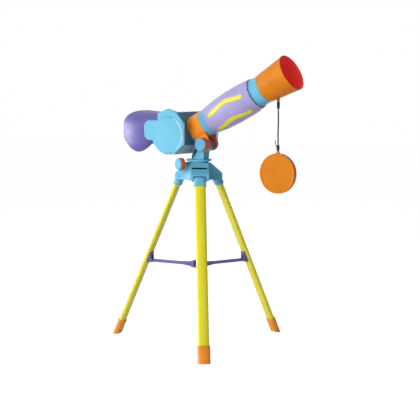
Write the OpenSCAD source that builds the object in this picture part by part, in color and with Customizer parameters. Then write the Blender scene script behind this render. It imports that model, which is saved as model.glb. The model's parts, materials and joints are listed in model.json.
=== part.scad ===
// Toy telescope on a folding tripod. Millimetres, +Z up, +X the way the tube points.
// The origin is on the floor, under the pan axis.

/* [Tripod legs] */
// Radius of the circle through the three leg hinges
hinge_r = 30; // [29:0.5:32]
// Height of the leg hinges above the floor
hinge_z = 294; // [240:1:340]
// Lean of a leg from the vertical when the tripod is open
leg_lean = 24.3; // [20:0.1:27]
// Turn of the tripod against the telescope
tripod_turn = 6.5; // [-25:0.5:25]
// Distance from the hinge out to the middle of the leg
leg_offset = 5.2; // [4.5:0.1:6]
// Width of a leg tube, across the tripod's radius
leg_w = 18.6; // [16:0.2:19]
// Depth of a leg tube
leg_d = 7.6; // [6.5:0.1:8.5]
// Wall of a leg tube
leg_wall = 1.4; // [1:0.1:2]
// Wall of a leg's socket at its narrow ends
socket_side = 1; // [0.8:0.1:1.6]
// Wall of a leg's socket at its broad faces
socket_face = 2.6; // [2:0.1:3]
// Length of the socket, measured down the leg from the hinge
socket_len = 19; // [17:0.5:24]
// Length of a foot along the leg
foot_len = 29; // [20:1:40]
// Wall of a foot round its leg
foot_wall = 1.5; // [1:0.1:2.5]
// Radius of a leg hinge pin
hinge_pin_r = 2; // [1.6:0.1:2.4]

/* [Spreader] */
// Distance down the leg from the hinge to the spreader clip
clip_s = 167.5; // [140:0.5:180]
// Length of a spreader clip along the leg
clip_len = 20; // [16:0.5:26]
// Radius of the circle through the pivots of the spreader hub
hub_pivot_r = 20; // [19:0.5:24]
// Height of the clip pivots above the hub pivots
spreader_dip = 0.5; // [0.5:0.5:6]
// Width of a spreader arm
arm_w = 6; // [5:0.5:8]
// Thickness of a spreader arm
arm_t = 5; // [4:0.5:6]
// Radius of the spreader's pivot pins
pivot_r = 1.6; // [1.3:0.1:1.8]

/* [Tripod head] */
// Depth of the head below the leg hinges
head_drop = 6; // [5:0.5:8]
// Height of the head above the leg hinges
head_rise = 26; // [25:0.5:32]
// Radius of the head's round neck
neck_r = 16.8; // [15:0.2:18]
// Reach of a wing from the pan axis
wing_reach = 39; // [38:0.5:42]
// Thickness of a wing's cheek beside the leg socket
cheek_t = 5; // [4.5:0.1:6]
// Width of the slot in each wing's roof
slot_w = 26; // [10:1:27]
// Length of the slot along the roof
slot_h = 4.4; // [3:0.2:5]

/* [Pan head] */
// Radius of the pan flange
flange_r = 22; // [20:0.5:24]
// Thickness of the pan flange
flange_t = 3.5; // [3:0.1:5]
// Radius of the pan stem
stem_r = 8; // [6:0.5:9]
// Distance of the tilt axis in front of the pan axis
tilt_lead = 20; // [16:0.5:22]
// Height of the tilt axis above the flange
tilt_rise = 26.6; // [25:0.2:30]
// Thickness of the tongue between the bracket ears
tongue_t = 18; // [14:0.5:20]
// Radius of the tilt bolt
tilt_bolt_r = 2.5; // [2:0.1:3]

/* [Knobs] */
// Radius of the tilt knob's skirt
tilt_knob_r = 11.6; // [9:0.2:12]
// Length of the tilt knob's skirt
tilt_knob_len = 9.3; // [7:0.1:12]
// Radius of the pan knob's skirt
pan_knob_r = 10.6; // [9:0.2:11.4]
// Length of the pan knob's skirt
pan_knob_len = 6.2; // [5:0.2:9]
// Depth of a knob's coloured cap
knob_cap_t = 3.4; // [2:0.2:4]
// Number of flutes round a knob
knob_flutes = 14; // [8:1:18]
// Distance of the pan knob's inner face from the pan axis
pan_knob_at = 34; // [30:0.5:38]
// Depth of the pan lock screw below the top of the head
pan_knob_drop = 3.7; // [3.6:0.1:8]

/* [Telescope tube] */
// Rise of the tube above the level line of sight
tube_alt = 27.2; // [22:0.2:32]
// Distance from the tilt axis up to the tube's axis
tube_rise = 34; // [33:0.5:37]
// Outer radius of the barrel where the bracket holds it
barrel_r = 21.2; // [19:0.2:22]
// Wall of the barrel
barrel_wall = 2.4; // [1.8:0.1:3]
// Wall of the bracket's band
band_wall = 2.2; // [1.6:0.1:3]
// Length of the bracket's band along the tube
band_len = 26; // [22:0.5:26]
// Thickness of a bracket ear
ear_t = 5.2; // [4:0.1:6]
// Radius of the rounded end of a bracket ear
ear_r = 11.4; // [8:0.2:12]
// Length of the collar behind the grip sleeve
rear_collar_len = 12; // [8:0.5:16]
// Step up from the barrel to the collar behind the grip sleeve
rear_collar_wall = 2.8; // [1.8:0.1:4.8]
// Length of the grip sleeve
sleeve_len = 101; // [80:1:120]
// Step up from the barrel to the grip sleeve at its rear edge
sleeve_rear_wall = 3.2; // [2.8:0.1:4.8]
// Step up from the barrel to the grip sleeve at its front edge
sleeve_front_wall = 5.6; // [3.8:0.1:6.8]
// Wall of the grip sleeve where it stands off the barrel
sleeve_wall = 2.4; // [1.8:0.1:3]
// Swell of the grip sleeve at mid length
sleeve_swell = 3.6; // [0:0.2:6]
// Width of the dark groove in front of the sleeve
groove_w = 1.4; // [1:0.1:3]
// Length of the front collar
front_collar_len = 17.5; // [12:0.5:24]
// Step up from the barrel to the front collar
front_collar_wall = 3.4; // [2.4:0.1:3.8]
// Length of the hood
hood_len = 56.5; // [40:0.5:70]
// Step up from the barrel to the hood's rear edge
hood_rear_wall = 4.2; // [3.8:0.1:5.8]
// How much wider the hood's mouth is than its rear edge, in radius
hood_flare = 6.8; // [4:0.2:14]
// Wall of the hood
hood_wall = 1.8; // [1.2:0.1:2.4]

/* [Wave grips] */
// Length of a wave grip along the tube
wave_len = 69; // [40:1:75]
// Width of a wave grip
wave_w = 8; // [4:0.2:9]
// Swing of a wave grip to each side
wave_swing = 3.2; // [1:0.1:4]
// Height of a wave grip above the sleeve
wave_rise = 0.8; // [0.4:0.1:1.5]
// Turn of the upper wave grips from the top of the tube
wave_upper_turn = 79; // [60:1:90]
// Turn of the lower wave grips from the top of the tube
wave_lower_turn = 145; // [125:1:150]

/* [Eyepiece housing] */
// Distance of the housing's middle behind the tilt axis
housing_back = 44; // [43:0.5:50]
// Height of the housing's middle above the tilt axis
housing_up = 18; // [16:0.5:22]
// Width of the housing between its side covers
drum_w = 100; // [90:1:110]
// Wall of the housing
drum_wall = 2.5; // [2:0.1:3]
// Height of the housing's top above its middle
drum_top = 37; // [34:0.5:38]
// Depth of the housing's floor below its middle
drum_bottom = 35; // [33:0.5:36]
// Thickness of a side cover's eight-sided plate
cover_t = 5; // [4:0.5:7]
// Radius of the round boss on a side cover
boss_r = 32; // [26:0.2:32]
// Wall of the hollow behind the round boss
boss_wall = 2.4; // [1.8:0.1:3]
// Height of the round boss above its plate
boss_t = 3; // [2:0.2:5]
// Length of a cover's tab beside the goggle, from the housing's middle
tab_reach = 52; // [46:1:58]
// Height of a cover's tab
tab_h = 35; // [28:1:40]

/* [Goggle and eyepieces] */
// Distance between the two eyepieces
eye_spacing = 52; // [48:1:56]
// Outer radius of an eyepiece
eyepiece_r = 11.5; // [10:0.5:12]
// Length of an eyepiece behind the housing
eyepiece_len = 24; // [18:1:30]
// How far the goggle's neck stands inside the housing's side
goggle_neck_in = 4; // [2:0.5:6]
// Half the goggle's width at its rim
goggle_rim_w = 53; // [50:0.5:58]
// Half the goggle's height at its rim
goggle_rim_h = 31; // [28:0.5:34]
// Depth of the goggle behind the housing
goggle_depth = 65; // [55:1:75]
// Wall of the goggle
goggle_wall = 3; // [2.2:0.1:4]

/* [Lens cap] */
// Wall of the lens cap's skirt, which fits over the hood's mouth
cap_wall = 1.3; // [1:0.1:2]
// Thickness of the lens cap's face
cap_t = 2; // [1.6:0.1:3]
// Depth of the lens cap's hollow
cap_hollow = 5.6; // [5:0.2:10]
// Distance along the hood to the eye that the cord is tied to
hood_eye_at = 14; // [10:0.5:25]
// Diameter of the cord
cord_d = 1.4; // [1:0.1:2]

/* [Hidden] */
$fn = 64;

// Plastic colours
sky = [0.33, 0.66, 0.83];
orange = [0.90, 0.45, 0.08];
yellow = [0.90, 0.84, 0.20];
purple = [0.42, 0.38, 0.70];
lavender = [0.66, 0.62, 0.84];
dark = [0.10, 0.10, 0.12];
steel = [0.70, 0.70, 0.72];
clear = [0.80, 0.90, 0.95];

// Clearances: pieces pressed together, pieces that turn, and faces that pass each other
seat_gap = 0.05;
run_gap = 0.06;
side_gap = 0.5;
face_gap = 0.4;
over = 1;

// Tripod places
function leg_turn(i) = tripod_turn - 60 + 120 * i;
leg_end_s = (hinge_z + leg_offset * sin(leg_lean)) / cos(leg_lean);
socket_w = leg_w + 2 * socket_side;
socket_d = leg_d + 2 * socket_face;
knuckle_r = hinge_pin_r + 2.6;
socket_top_s = 4.5;
leg_top_s = socket_top_s + 2;
clip_plate_t = 2;
clip_plate_w = leg_w - leg_d;
clip_tail = 6;
arm_eye_r = arm_t / 2 + 0.9;
pivot_in = leg_d / 2 + clip_plate_t + arm_eye_r + face_gap;
clip_x = leg_offset - pivot_in;
clip_r = hinge_r + clip_s * sin(leg_lean) + clip_x * cos(leg_lean);
clip_z = hinge_z - clip_s * cos(leg_lean) + clip_x * sin(leg_lean);
hub_pivot_z = clip_z - spreader_dip;
arm_len = norm([clip_r - hub_pivot_r, spreader_dip]);
arm_dip = asin(spreader_dip / arm_len);
prong_t = 2.2;
arm_root = 9;
arm_step = 0.4;
hub_plate_r = 14;
hub_plate_t = 1.8;
hub_plate_drop = 5;
hub_crest = 6.5;
stud_head_r = 2.6;
stud_head_t = 1;

// Head places
head_base_z = hinge_z - head_drop;
head_top_z = hinge_z + head_rise;
channel_w = socket_w + 2 * side_gap;
wing_w = channel_w + 2 * cheek_t;
wing_wall = 2.5;
wing_lip_z = hinge_z + 2;
wing_roof = [neck_r - 2, head_top_z - 2];
wing_brow = [wing_reach - 3.5, hinge_z + 7];
wing_round = 3.5;
slot_mid = 0.48 * wing_roof + 0.52 * wing_brow;
base_plate_t = 2.5;
base_plate_r = 15.5;
base_screw_r = 1.3;
base_screw_at = 13.4;
washer_r = 11;
washer_t = 1.6;
cellar_r = washer_r + 0.8;
cellar_h = 9.5;
pan_screw_r = 2;
pan_screw_head_r = 4.6;
pan_screw_head_t = 3.2;
flange_z = head_top_z + face_gap;
flange_top_z = flange_z + flange_t;
tilt_z = flange_top_z + tilt_rise;
tongue_r = 9.4;
gusset_reach = 13;
ear_y = tongue_t / 2 + 0.3;
ear_out = ear_y + ear_t;
pan_knob_turn = leg_turn(0) - 60;
pan_knob_z = head_top_z - pan_knob_drop;
lock_r = 2;
lock_boss_r = 3.3;
nut_r = 4.6;
nut_t = 4;
flute_r = 1.5;
flute_from = 1.4;
knob_round = 1.4;

// Tube places: the tube is measured along its axis from above the tilt bolt
band_r = barrel_r + seat_gap + band_wall;
collar_at = band_len / 2;
sleeve_at = collar_at + rear_collar_len;
core_step = 0.8;
core_r = barrel_r + core_step;
bore_r = barrel_r - barrel_wall;
rear_collar_r = barrel_r + rear_collar_wall;
sleeve_rear_r = barrel_r + sleeve_rear_wall;
sleeve_front_r = barrel_r + sleeve_front_wall;
front_collar_r = barrel_r + front_collar_wall;
hood_rear_r = barrel_r + hood_rear_wall;
hood_mouth_r = hood_rear_r + hood_flare;
front_at = sleeve_at + sleeve_len + groove_w;
hood_at = front_at + front_collar_len;
mouth_at = hood_at + hood_len;
spigot_len = 7;
hood_seat = spigot_len + 1;
spigot_end = hood_at + spigot_len;
lens_back = 6;
lens_at = hood_at - lens_back;
lens_ledge = 2;
lens_edge_t = 3;
lens_bulge = 2.2;
lens_seat = seat_gap + lens_bulge * (1 - pow(1 - lens_ledge / bore_r, 2));
lens_ring_t = 3;
lens_ring_wall = lens_ledge;
drum_face_at = -band_len / 2 - face_gap;
barrel_tail = drum_face_at - 8;
wave_at = sleeve_at + 16;
wave_turns = [-wave_upper_turn, -wave_lower_turn, wave_lower_turn, wave_upper_turn];

// Housing places, from its middle
housing_x = tilt_lead - housing_back;
housing_z = tilt_z + housing_up;
drum_rear = 24;
cover_front = 28;
cover_brow = 40.5;
cover_crest = 45;
cover_rear = 25;
boss_mid = [-4, -1.6];
// The right cover rises to a crest above the housing, the left one ends level with its top
function cover_outline(s) = [[cover_front, 20], [7, s < 0 ? cover_brow : drum_top],
    [-9, s < 0 ? cover_crest : drum_top], [-cover_rear, drum_top - 2], [-cover_rear, -22],
    [-12, -drum_bottom], [9, -drum_bottom], [cover_front, -18]];
cover_y = drum_w / 2;
tab_mid = 6;
tab_corner = 11;
screw_r = 1.5;
screw_head_r = 2.7;
screw_head_t = 2;
screw_len = 12;
screw_boss_r = 3.4;
eye_z = 11.2;
eye_bore_wall = 2;
eye_lens_t = 2;
eye_lens_bulge = 1.6;
eye_lens_in = 6;

// Goggle stations from the housing to the rim: distance back, half width, half height, rise
goggle_segments = 40;
goggle_rings = 9;
goggle_neck_w = cover_y - goggle_neck_in;
goggle_flare_w = cover_y + 10;
// The shoulder lets the goggle pass just inside the tips of the covers' tabs
tab_s = (tab_reach - drum_rear + 1) / goggle_depth;
tab_room = cover_y - 2 * face_gap - pow(1 - tab_s, 3) * goggle_neck_w
    - 3 * tab_s * tab_s * (1 - tab_s) * goggle_flare_w - pow(tab_s, 3) * goggle_rim_w;
goggle_shoulder_w = tab_room / (3 * tab_s * pow(1 - tab_s, 2));
goggle_neck = [0, goggle_neck_w, 21.8, 12.8];
goggle_shoulder = [goggle_depth / 3, goggle_shoulder_w, goggle_rim_h - 13.2, 19.1];
goggle_flare = [goggle_depth * 2 / 3, goggle_flare_w, goggle_rim_h + 20.6, -16.1];
goggle_rim = [goggle_depth, goggle_rim_w, goggle_rim_h, 7.8];
goggle_wrap = 9;
nose_notch = 9;
nose_rise = 18.5;
brow_square = 0.61;
cheek_square = 0.49;

// Optics places
tray_w = drum_w * 0.8;
tray_len = 28;
tray_back = 16;
tray_t = 2.4;
tray_z = -13;
tray_leg = 4;
prism = 22;
mirror_len = 24;
mirror_t = 2;

// Cord and cap places
hood_eye_r = 2.8;
hood_eye_t = 3;
hood_eye_hole = 1.3;
eye_drop = hood_r_at(hood_eye_at) + 1.2;
eye_place = tube_point(hood_at + hood_eye_at, eye_drop);
knot_r = 2.6;
knot_h = 13;
low_knot_h = 10;
cap_eye_r = 2.8;
cap_eye_t = 3;
cord_hang = 88;
cap_gap = 0.2;
cap_r = hood_mouth_r + cap_gap + cap_wall;
// The cord's loop in the hood's eye, its two strands and its loose tail: along, across and up from the eye
loop_route = [[0, -2.3, -3], [0, -2.6, -1.6], [0, -1.8, -0.3], [0, 0, 0], [0, 1.8, -0.3],
    [0, 2.6, -1.6], [0, 2.3, -3]];
strand_route = [[0, 0.9, -15.8], [0, 0.9, -20], [0.1, 1, -24], [0.2, 1, -28], [0.3, 1, -32], [0.3, 1, -36],
    [0.2, 1, -40], [0.1, 1, -44], [0, 1, -48], [-0.1, 1, -52], [-0.2, 1, -56], [-0.2, 1, -60], [-0.1, 1, -64],
    [0, 0.9, -68], [0, 0.9, -72], [0, 0.9, -75.2]];
tail_route = [[-2.9, 0, -79], [-4, 0, -76], [-5, 0.2, -73], [-5.8, 0.4, -70], [-6.4, 0.6, -67.5]];
cord_sides = 8;
cap_rim_w = 3;
cap_sink = 0.6;

// A point on the tube's lower side, or its axis, in the telescope's upright plane
function tube_point(along, below) = [
    tilt_lead + along * cos(tube_alt) - (tube_rise - below) * sin(tube_alt), 0,
    tilt_z + along * sin(tube_alt) + (tube_rise - below) * cos(tube_alt)];
function hood_r_at(s) = hood_rear_r + (hood_mouth_r - hood_rear_r) * s / hood_len;
function sleeve_r_at(s) = sleeve_rear_r + (sleeve_front_r - sleeve_rear_r) * s + 4 * sleeve_swell * s * (1 - s);

// Corner where two lines cross, and a convex outline drawn in by a wall
function crossing(p, u, q, v) = p + u * cross(q - p, v) / cross(u, v);
function wall_in(a, b, d) = let (u = (b - a) / norm(b - a)) [a + d * [-u[1], u[0]], u];
function drawn_in(pts, d) = let (n = len(pts)) [for (i = [0 : n - 1])
    let (e = wall_in(pts[(i + n - 1) % n], pts[i], d), f = wall_in(pts[i], pts[(i + 1) % n], d))
    crossing(e[0], e[1], f[0], f[1])];
function arc(c, r, from, to, steps) = [for (i = [0 : steps])
    c + r * [cos(from + (to - from) * i / steps), sin(from + (to - from) * i / steps)]];

// Housing outline: square to the tube in front, eight-sided elsewhere
tube_down = [sin(tube_alt), -cos(tube_alt)];
face_point = [housing_back, -housing_up] + tube_rise * -tube_down
    + drum_face_at * [cos(tube_alt), sin(tube_alt)];
drum_face_top = crossing(face_point, tube_down, [0, drum_top], [1, 0]);
drum_chin = 20;
drum_face_low = crossing(face_point, tube_down, [drum_chin, 0], [0, 1]);
drum_outline = [[drum_chin, drum_chin - drum_bottom - 5], drum_face_low, drum_face_top, [-12, drum_top],
    [-drum_rear, 28], [-drum_rear, -21], [-11, -drum_bottom], [9, -drum_bottom]];
screw_places = [[-7, drum_top - drum_wall - 2.8], [-1, -drum_bottom + drum_wall + 2.8]];

// Placing helpers
module at_leg(i) {
    rotate([0, 0, leg_turn(i)])
        translate([hinge_r, 0, hinge_z])
            rotate([0, -leg_lean, 0]) children();
}
module on_tube() {
    translate([tilt_lead, 0, tilt_z])
        rotate([0, -tube_alt, 0])
            translate([0, 0, tube_rise])
                rotate([0, 90, 0]) children();
}
module at_housing() {
    translate([housing_x, 0, housing_z]) children();
}
module along_y(h) {
    rotate([90, 0, 0]) translate([0, 0, -h / 2]) children();
}
// An outline of distance forward and height, given a width across the telescope
module across(w, y0 = 0) {
    translate([0, y0 + w / 2, 0]) rotate([90, 0, 0]) linear_extrude(w) children();
}
module stadium(w, d, h) {
    linear_extrude(h) {
        square([d, w - d], center = true);
        for (s = [-1, 1]) translate([0, s * (w - d) / 2]) circle(d / 2);
    }
}
module tube_ring(r_out, r_in, from, to) {
    rotate_extrude() translate([r_in, from]) square([r_out - r_in, to - from]);
}
// Tube swept along a route, one ring of corners at each point
module cord_tube(route, d, sides) {
    n = len(route);
    function heading(i) = route[min(i + 1, n - 1)] - route[max(i - 1, 0)];
    function unit(v) = v / norm(v);
    pts = [for (i = [0 : n - 1])
        let (h = unit(heading(i)), u = unit(cross(h, [1, 0.05, 0.02])), v = cross(h, u))
        for (k = [0 : sides - 1])
            let (a = 360 * k / sides) route[i] + d / 2 * (cos(a) * u + sin(a) * v)];
    walls = [for (i = [0 : n - 2]) for (k = [0 : sides - 1])
        let (a = i * sides + k, b = i * sides + (k + 1) % sides)
        each [[a, a + sides, b], [b, a + sides, b + sides]]];
    ends = [[for (k = [0 : sides - 1]) k], [for (k = [sides - 1 : -1 : 0]) (n - 1) * sides + k]];
    polyhedron(pts, concat(walls, ends), convexity = 4);
}
module knob_skirt(r, len) {
    difference() {
        cylinder(r = r, h = len);
        for (k = [0 : knob_flutes - 1]) rotate(360 * k / knob_flutes)
            translate([r + flute_r / 2, 0, flute_from]) cylinder(r = flute_r, h = len);
    }
}
module knob_face(r, len) {
    edge = r - flute_r / 2;
    rotate_extrude() polygon(concat([[0, 0], [edge, 0]],
        arc([edge - knob_round, len - knob_round], knob_round, 0, 90, 4), [[0, len]]));
}

// Tripod head
module wing_solid() {
    outline = concat([[0, head_base_z], [wing_reach - 1.5, head_base_z], [wing_reach, head_base_z + 1.5]],
        arc([wing_reach - wing_round, wing_brow[1] - wing_round], wing_round, 0, 50, 5),
        [wing_roof, [0, wing_roof[1]]]);
    across(wing_w) polygon(outline);
}
module wing_hollow() {
    roof_slope = (wing_roof - wing_brow) / norm(wing_roof - wing_brow);
    in_wall = [wing_reach - wing_wall, wing_lip_z];
    brow = crossing(in_wall, [0, 1], wing_brow - wing_wall * [roof_slope[1], -roof_slope[0]], roof_slope);
    inner = [in_wall, brow, crossing(brow, roof_slope, [neck_r + 1.5, 0], [0, 1]),
        [neck_r + 1.5, head_base_z - over], [wing_reach + over, head_base_z - over],
        [wing_reach + over, wing_lip_z]];
    across(channel_w) polygon(inner);
}
module tripod_head() {
    color(sky) difference() {
        union() {
            translate([0, 0, head_base_z]) cylinder(r = neck_r, h = head_top_z - head_base_z);
            for (i = [0 : 2]) rotate(leg_turn(i)) wing_solid();
            lock_boss();
        }
        for (i = [0 : 2]) rotate(leg_turn(i)) {
            wing_hollow();
            translate([hinge_r, 0, hinge_z]) along_y(wing_w + 2 * over)
                cylinder(r = hinge_pin_r + seat_gap, h = wing_w + 2 * over);
            translate([slot_mid[0], 0, slot_mid[1]])
                rotate([0, atan2(wing_roof[1] - wing_brow[1], wing_brow[0] - wing_roof[0]), 0])
                    cube([slot_h, slot_w, 4 * wing_wall], center = true);
        }
        translate([0, 0, head_base_z - over]) {
            cylinder(r = stem_r + run_gap, h = head_top_z - head_base_z + 2 * over);
            cylinder(r = cellar_r, h = cellar_h + over);
        }
        for (k = [0 : 2]) rotate(leg_turn(k) + 60) translate([base_screw_at, 0, head_base_z - over])
            cylinder(r = base_screw_r + seat_gap, h = 8 + over);
        lock_axis(stem_r - over, pan_knob_at + over, lock_r + run_gap);
    }
}
module lock_axis(from, to, r) {
    rotate(pan_knob_turn) translate([from, 0, pan_knob_z]) rotate([0, 90, 0]) cylinder(r = r, h = to - from);
}
module lock_boss() {
    lock_axis(neck_r - 3, pan_knob_at - 1, lock_boss_r);
}
module leg_hinge_pins() {
    color(steel) for (i = [0 : 2]) rotate(leg_turn(i)) translate([hinge_r, 0, hinge_z])
        along_y(wing_w) cylinder(r = hinge_pin_r, h = wing_w);
}
module head_base_plate() {
    color(sky) translate([0, 0, head_base_z - base_plate_t]) difference() {
        cylinder(r = base_plate_r, h = base_plate_t);
        for (k = [0 : 2]) rotate(leg_turn(k) + 60) translate([base_screw_at, 0, -over])
            cylinder(r = base_screw_r + seat_gap, h = base_plate_t + 2 * over);
    }
}
module base_plate_screws() {
    color(steel) for (k = [0 : 2]) rotate(leg_turn(k) + 60)
        translate([base_screw_at, 0, head_base_z - base_plate_t]) {
            cylinder(r = base_screw_r, h = base_plate_t + 7);
            translate([0, 0, -1.2]) cylinder(r = 2, h = 1.2);
        }
}

// Legs
module leg_socket(i) {
    color(sky) at_leg(i) difference() {
        union() {
            along_y(socket_w) cylinder(r = knuckle_r, h = socket_w);
            translate([leg_offset, 0, -socket_len]) stadium(socket_w, socket_d, socket_len - socket_top_s);
            translate([-knuckle_r * 0.7, -socket_w / 2 + socket_d / 2, -socket_top_s - 3])
                cube([knuckle_r * 0.7 + leg_offset, socket_w - socket_d, socket_top_s + 3]);
        }
        along_y(socket_w + 2 * over) cylinder(r = hinge_pin_r + run_gap, h = socket_w + 2 * over);
        translate([leg_offset, 0, -socket_len - over])
            stadium(leg_w + 2 * seat_gap, leg_d + 2 * seat_gap, socket_len - leg_top_s + over);
    }
}
module leg_tube(i) {
    color(yellow) at_leg(i) translate([leg_offset, 0, -leg_end_s + 5]) difference() {
        stadium(leg_w, leg_d, leg_end_s - leg_top_s - 5);
        translate([0, 0, -over])
            stadium(leg_w - 2 * leg_wall, leg_d - 2 * leg_wall, leg_end_s - leg_top_s - 5 + 2 * over);
    }
}
module foot(i) {
    color(orange) difference() {
        at_leg(i) translate([leg_offset, 0, -leg_end_s - 10]) difference() {
            stadium(leg_w + 2 * foot_wall, leg_d + 2 * foot_wall, foot_len + 10);
            translate([0, 0, 15]) stadium(leg_w + 2 * seat_gap, leg_d + 2 * seat_gap, foot_len);
        }
        translate([-500, -500, -100]) cube([1000, 1000, 100]);
    }
}
module arm_clip(i) {
    face = leg_offset - leg_d / 2 - seat_gap;
    span = arm_w + 2 * face_gap + 2 * prong_t;
    color(purple) at_leg(i) translate([0, 0, -clip_s]) {
        translate([face - clip_plate_t, -clip_plate_w / 2, -clip_tail])
            cube([clip_plate_t, clip_plate_w, clip_len]);
        for (s = [-1, 1]) across(prong_t, s * (span - prong_t) / 2) {
            translate([clip_x, 0]) circle(arm_eye_r);
            polygon([[clip_x, -arm_eye_r], [face - clip_plate_t / 2, -arm_eye_r],
                [face - clip_plate_t / 2, clip_len - clip_tail - 1], [clip_x, arm_eye_r]]);
        }
        translate([clip_x, 0, 0]) along_y(span) cylinder(r = pivot_r, h = span);
    }
}

// Spreader
module spreader_arm(i) {
    color(purple) rotate(leg_turn(i)) translate([clip_r, 0, clip_z]) rotate([0, -arm_dip, 0]) difference() {
        union() {
            across(arm_w) {
                circle(arm_eye_r);
                translate([-arm_len, -arm_t / 2]) square([arm_len, arm_t]);
            }
            across(arm_w - arm_step) {
                translate([-arm_len, 0]) circle(arm_t / 2 + arm_step);
                translate([-arm_len, -arm_t / 2 - arm_step]) square([arm_root, arm_t + 2 * arm_step]);
            }
        }
        for (x = [0, -arm_len]) translate([x, 0, 0]) along_y(arm_w + 2 * over)
            cylinder(r = pivot_r + run_gap, h = arm_w + 2 * over);
    }
}
module spreader_hub() {
    prong_y = arm_w / 2 + face_gap + prong_t / 2;
    color(purple) translate([0, 0, hub_pivot_z]) {
        translate([0, 0, -hub_plate_drop]) cylinder(r = hub_plate_r, h = hub_plate_t);
        for (i = [0 : 2]) rotate(leg_turn(i)) difference() {
            for (s = [-1, 1]) across(prong_t, s * prong_y) polygon(concat(
                [[7, -hub_plate_drop + 0.6], [hub_plate_r - 1, -hub_plate_drop + 0.6]],
                arc([hub_pivot_r, 0], arm_eye_r, -60, 100, 8), [[9, hub_crest], [7, hub_crest - 1]]));
            translate([hub_pivot_r, 0, 0]) along_y(4 * prong_y)
                cylinder(r = pivot_r + seat_gap, h = 4 * prong_y);
        }
    }
}
module spreader_studs() {
    prong_in = arm_w / 2 + face_gap;
    color(steel) translate([0, 0, hub_pivot_z])
        for (i = [0 : 2]) rotate(leg_turn(i)) for (s = [-1, 1]) translate([hub_pivot_r, s * prong_in, 0])
            rotate([-90 * s, 0, 0]) {
                cylinder(r = pivot_r, h = prong_t);
                translate([0, 0, prong_t]) cylinder(r = stud_head_r, h = stud_head_t);
            }
}

// Pan head
module pan_yoke() {
    tip = [tilt_lead, tilt_rise];
    color(sky) difference() {
        union() {
            translate([0, 0, flange_z]) cylinder(r = flange_r, h = flange_t);
            translate([0, 0, head_base_z + cellar_h + face_gap])
                cylinder(r = stem_r, h = flange_z - head_base_z - cellar_h);
            translate([0, 0, flange_top_z]) across(tongue_t) {
                polygon([[-7, -over], [15, -over], [16.5, tilt_rise / 2],
                    tip + tongue_r * [cos(-30), sin(-30)], tip + tongue_r * [cos(150), sin(150)]]);
                translate(tip) circle(tongue_r);
            }
            translate([0, 0, flange_top_z]) across(tongue_t / 2) polygon(concat(
                [[5, -over], [-gusset_reach, -over]],
                [for (k = [0 : 6]) [-gusset_reach + 22 * pow(k / 6, 2), (tilt_rise + 4) * k / 6]]));
        }
        translate([tilt_lead, 0, tilt_z]) along_y(tongue_t + 2 * over)
            cylinder(r = tilt_bolt_r + run_gap, h = tongue_t + 2 * over);
        translate([0, 0, head_base_z + cellar_h]) cylinder(r = pan_screw_r + seat_gap, h = 14);
    }
}
module pan_washer() {
    color(steel) translate([0, 0, head_base_z + cellar_h - washer_t - seat_gap]) difference() {
        cylinder(r = washer_r, h = washer_t);
        translate([0, 0, -over]) cylinder(r = pan_screw_r + seat_gap, h = washer_t + 2 * over);
    }
}
module pan_screw() {
    color(steel) translate([0, 0, head_base_z + cellar_h - washer_t - seat_gap]) {
        cylinder(r = pan_screw_r, h = 13);
        translate([0, 0, -pan_screw_head_t]) cylinder(r = pan_screw_head_r, h = pan_screw_head_t);
    }
}

// Knobs and their screws
module at_pan_knob() {
    rotate(pan_knob_turn) translate([pan_knob_at, 0, pan_knob_z]) rotate([0, 90, 0]) children();
}
module pan_knob() {
    color(orange) at_pan_knob() difference() {
        knob_skirt(pan_knob_r, pan_knob_len);
        translate([0, 0, -over]) cylinder(r = lock_r + seat_gap, h = pan_knob_len - 1 + over);
    }
}
module pan_knob_cap() {
    color(sky) at_pan_knob() translate([0, 0, pan_knob_len]) knob_face(pan_knob_r, knob_cap_t);
}
module pan_lock_screw() {
    color(steel) lock_axis(stem_r + face_gap, pan_knob_at + pan_knob_len - 2, lock_r);
}
module at_tilt_knob() {
    translate([tilt_lead, -ear_out - 0.4, tilt_z]) rotate([90, 0, 0]) children();
}
module tilt_bolt() {
    color(steel) at_tilt_knob() translate([0, 0, -2 * ear_out - nut_t - 1.4])
        cylinder(r = tilt_bolt_r, h = 2 * ear_out + nut_t + 1.4 + tilt_knob_len - 2);
}
module tilt_nut() {
    color(steel) translate([tilt_lead, ear_out + nut_t, tilt_z]) rotate([90, 0, 0]) difference() {
        cylinder(r = nut_r, h = nut_t, $fn = 6);
        translate([0, 0, -over]) cylinder(r = tilt_bolt_r + run_gap, h = nut_t + 2 * over);
    }
}
module tilt_knob() {
    color(orange) at_tilt_knob() difference() {
        knob_skirt(tilt_knob_r, tilt_knob_len);
        translate([0, 0, -over]) cylinder(r = tilt_bolt_r + seat_gap, h = tilt_knob_len - 1 + over);
    }
}
module tilt_knob_cap() {
    color(sky) at_tilt_knob() translate([0, 0, tilt_knob_len]) knob_face(tilt_knob_r, knob_cap_t);
}

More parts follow.
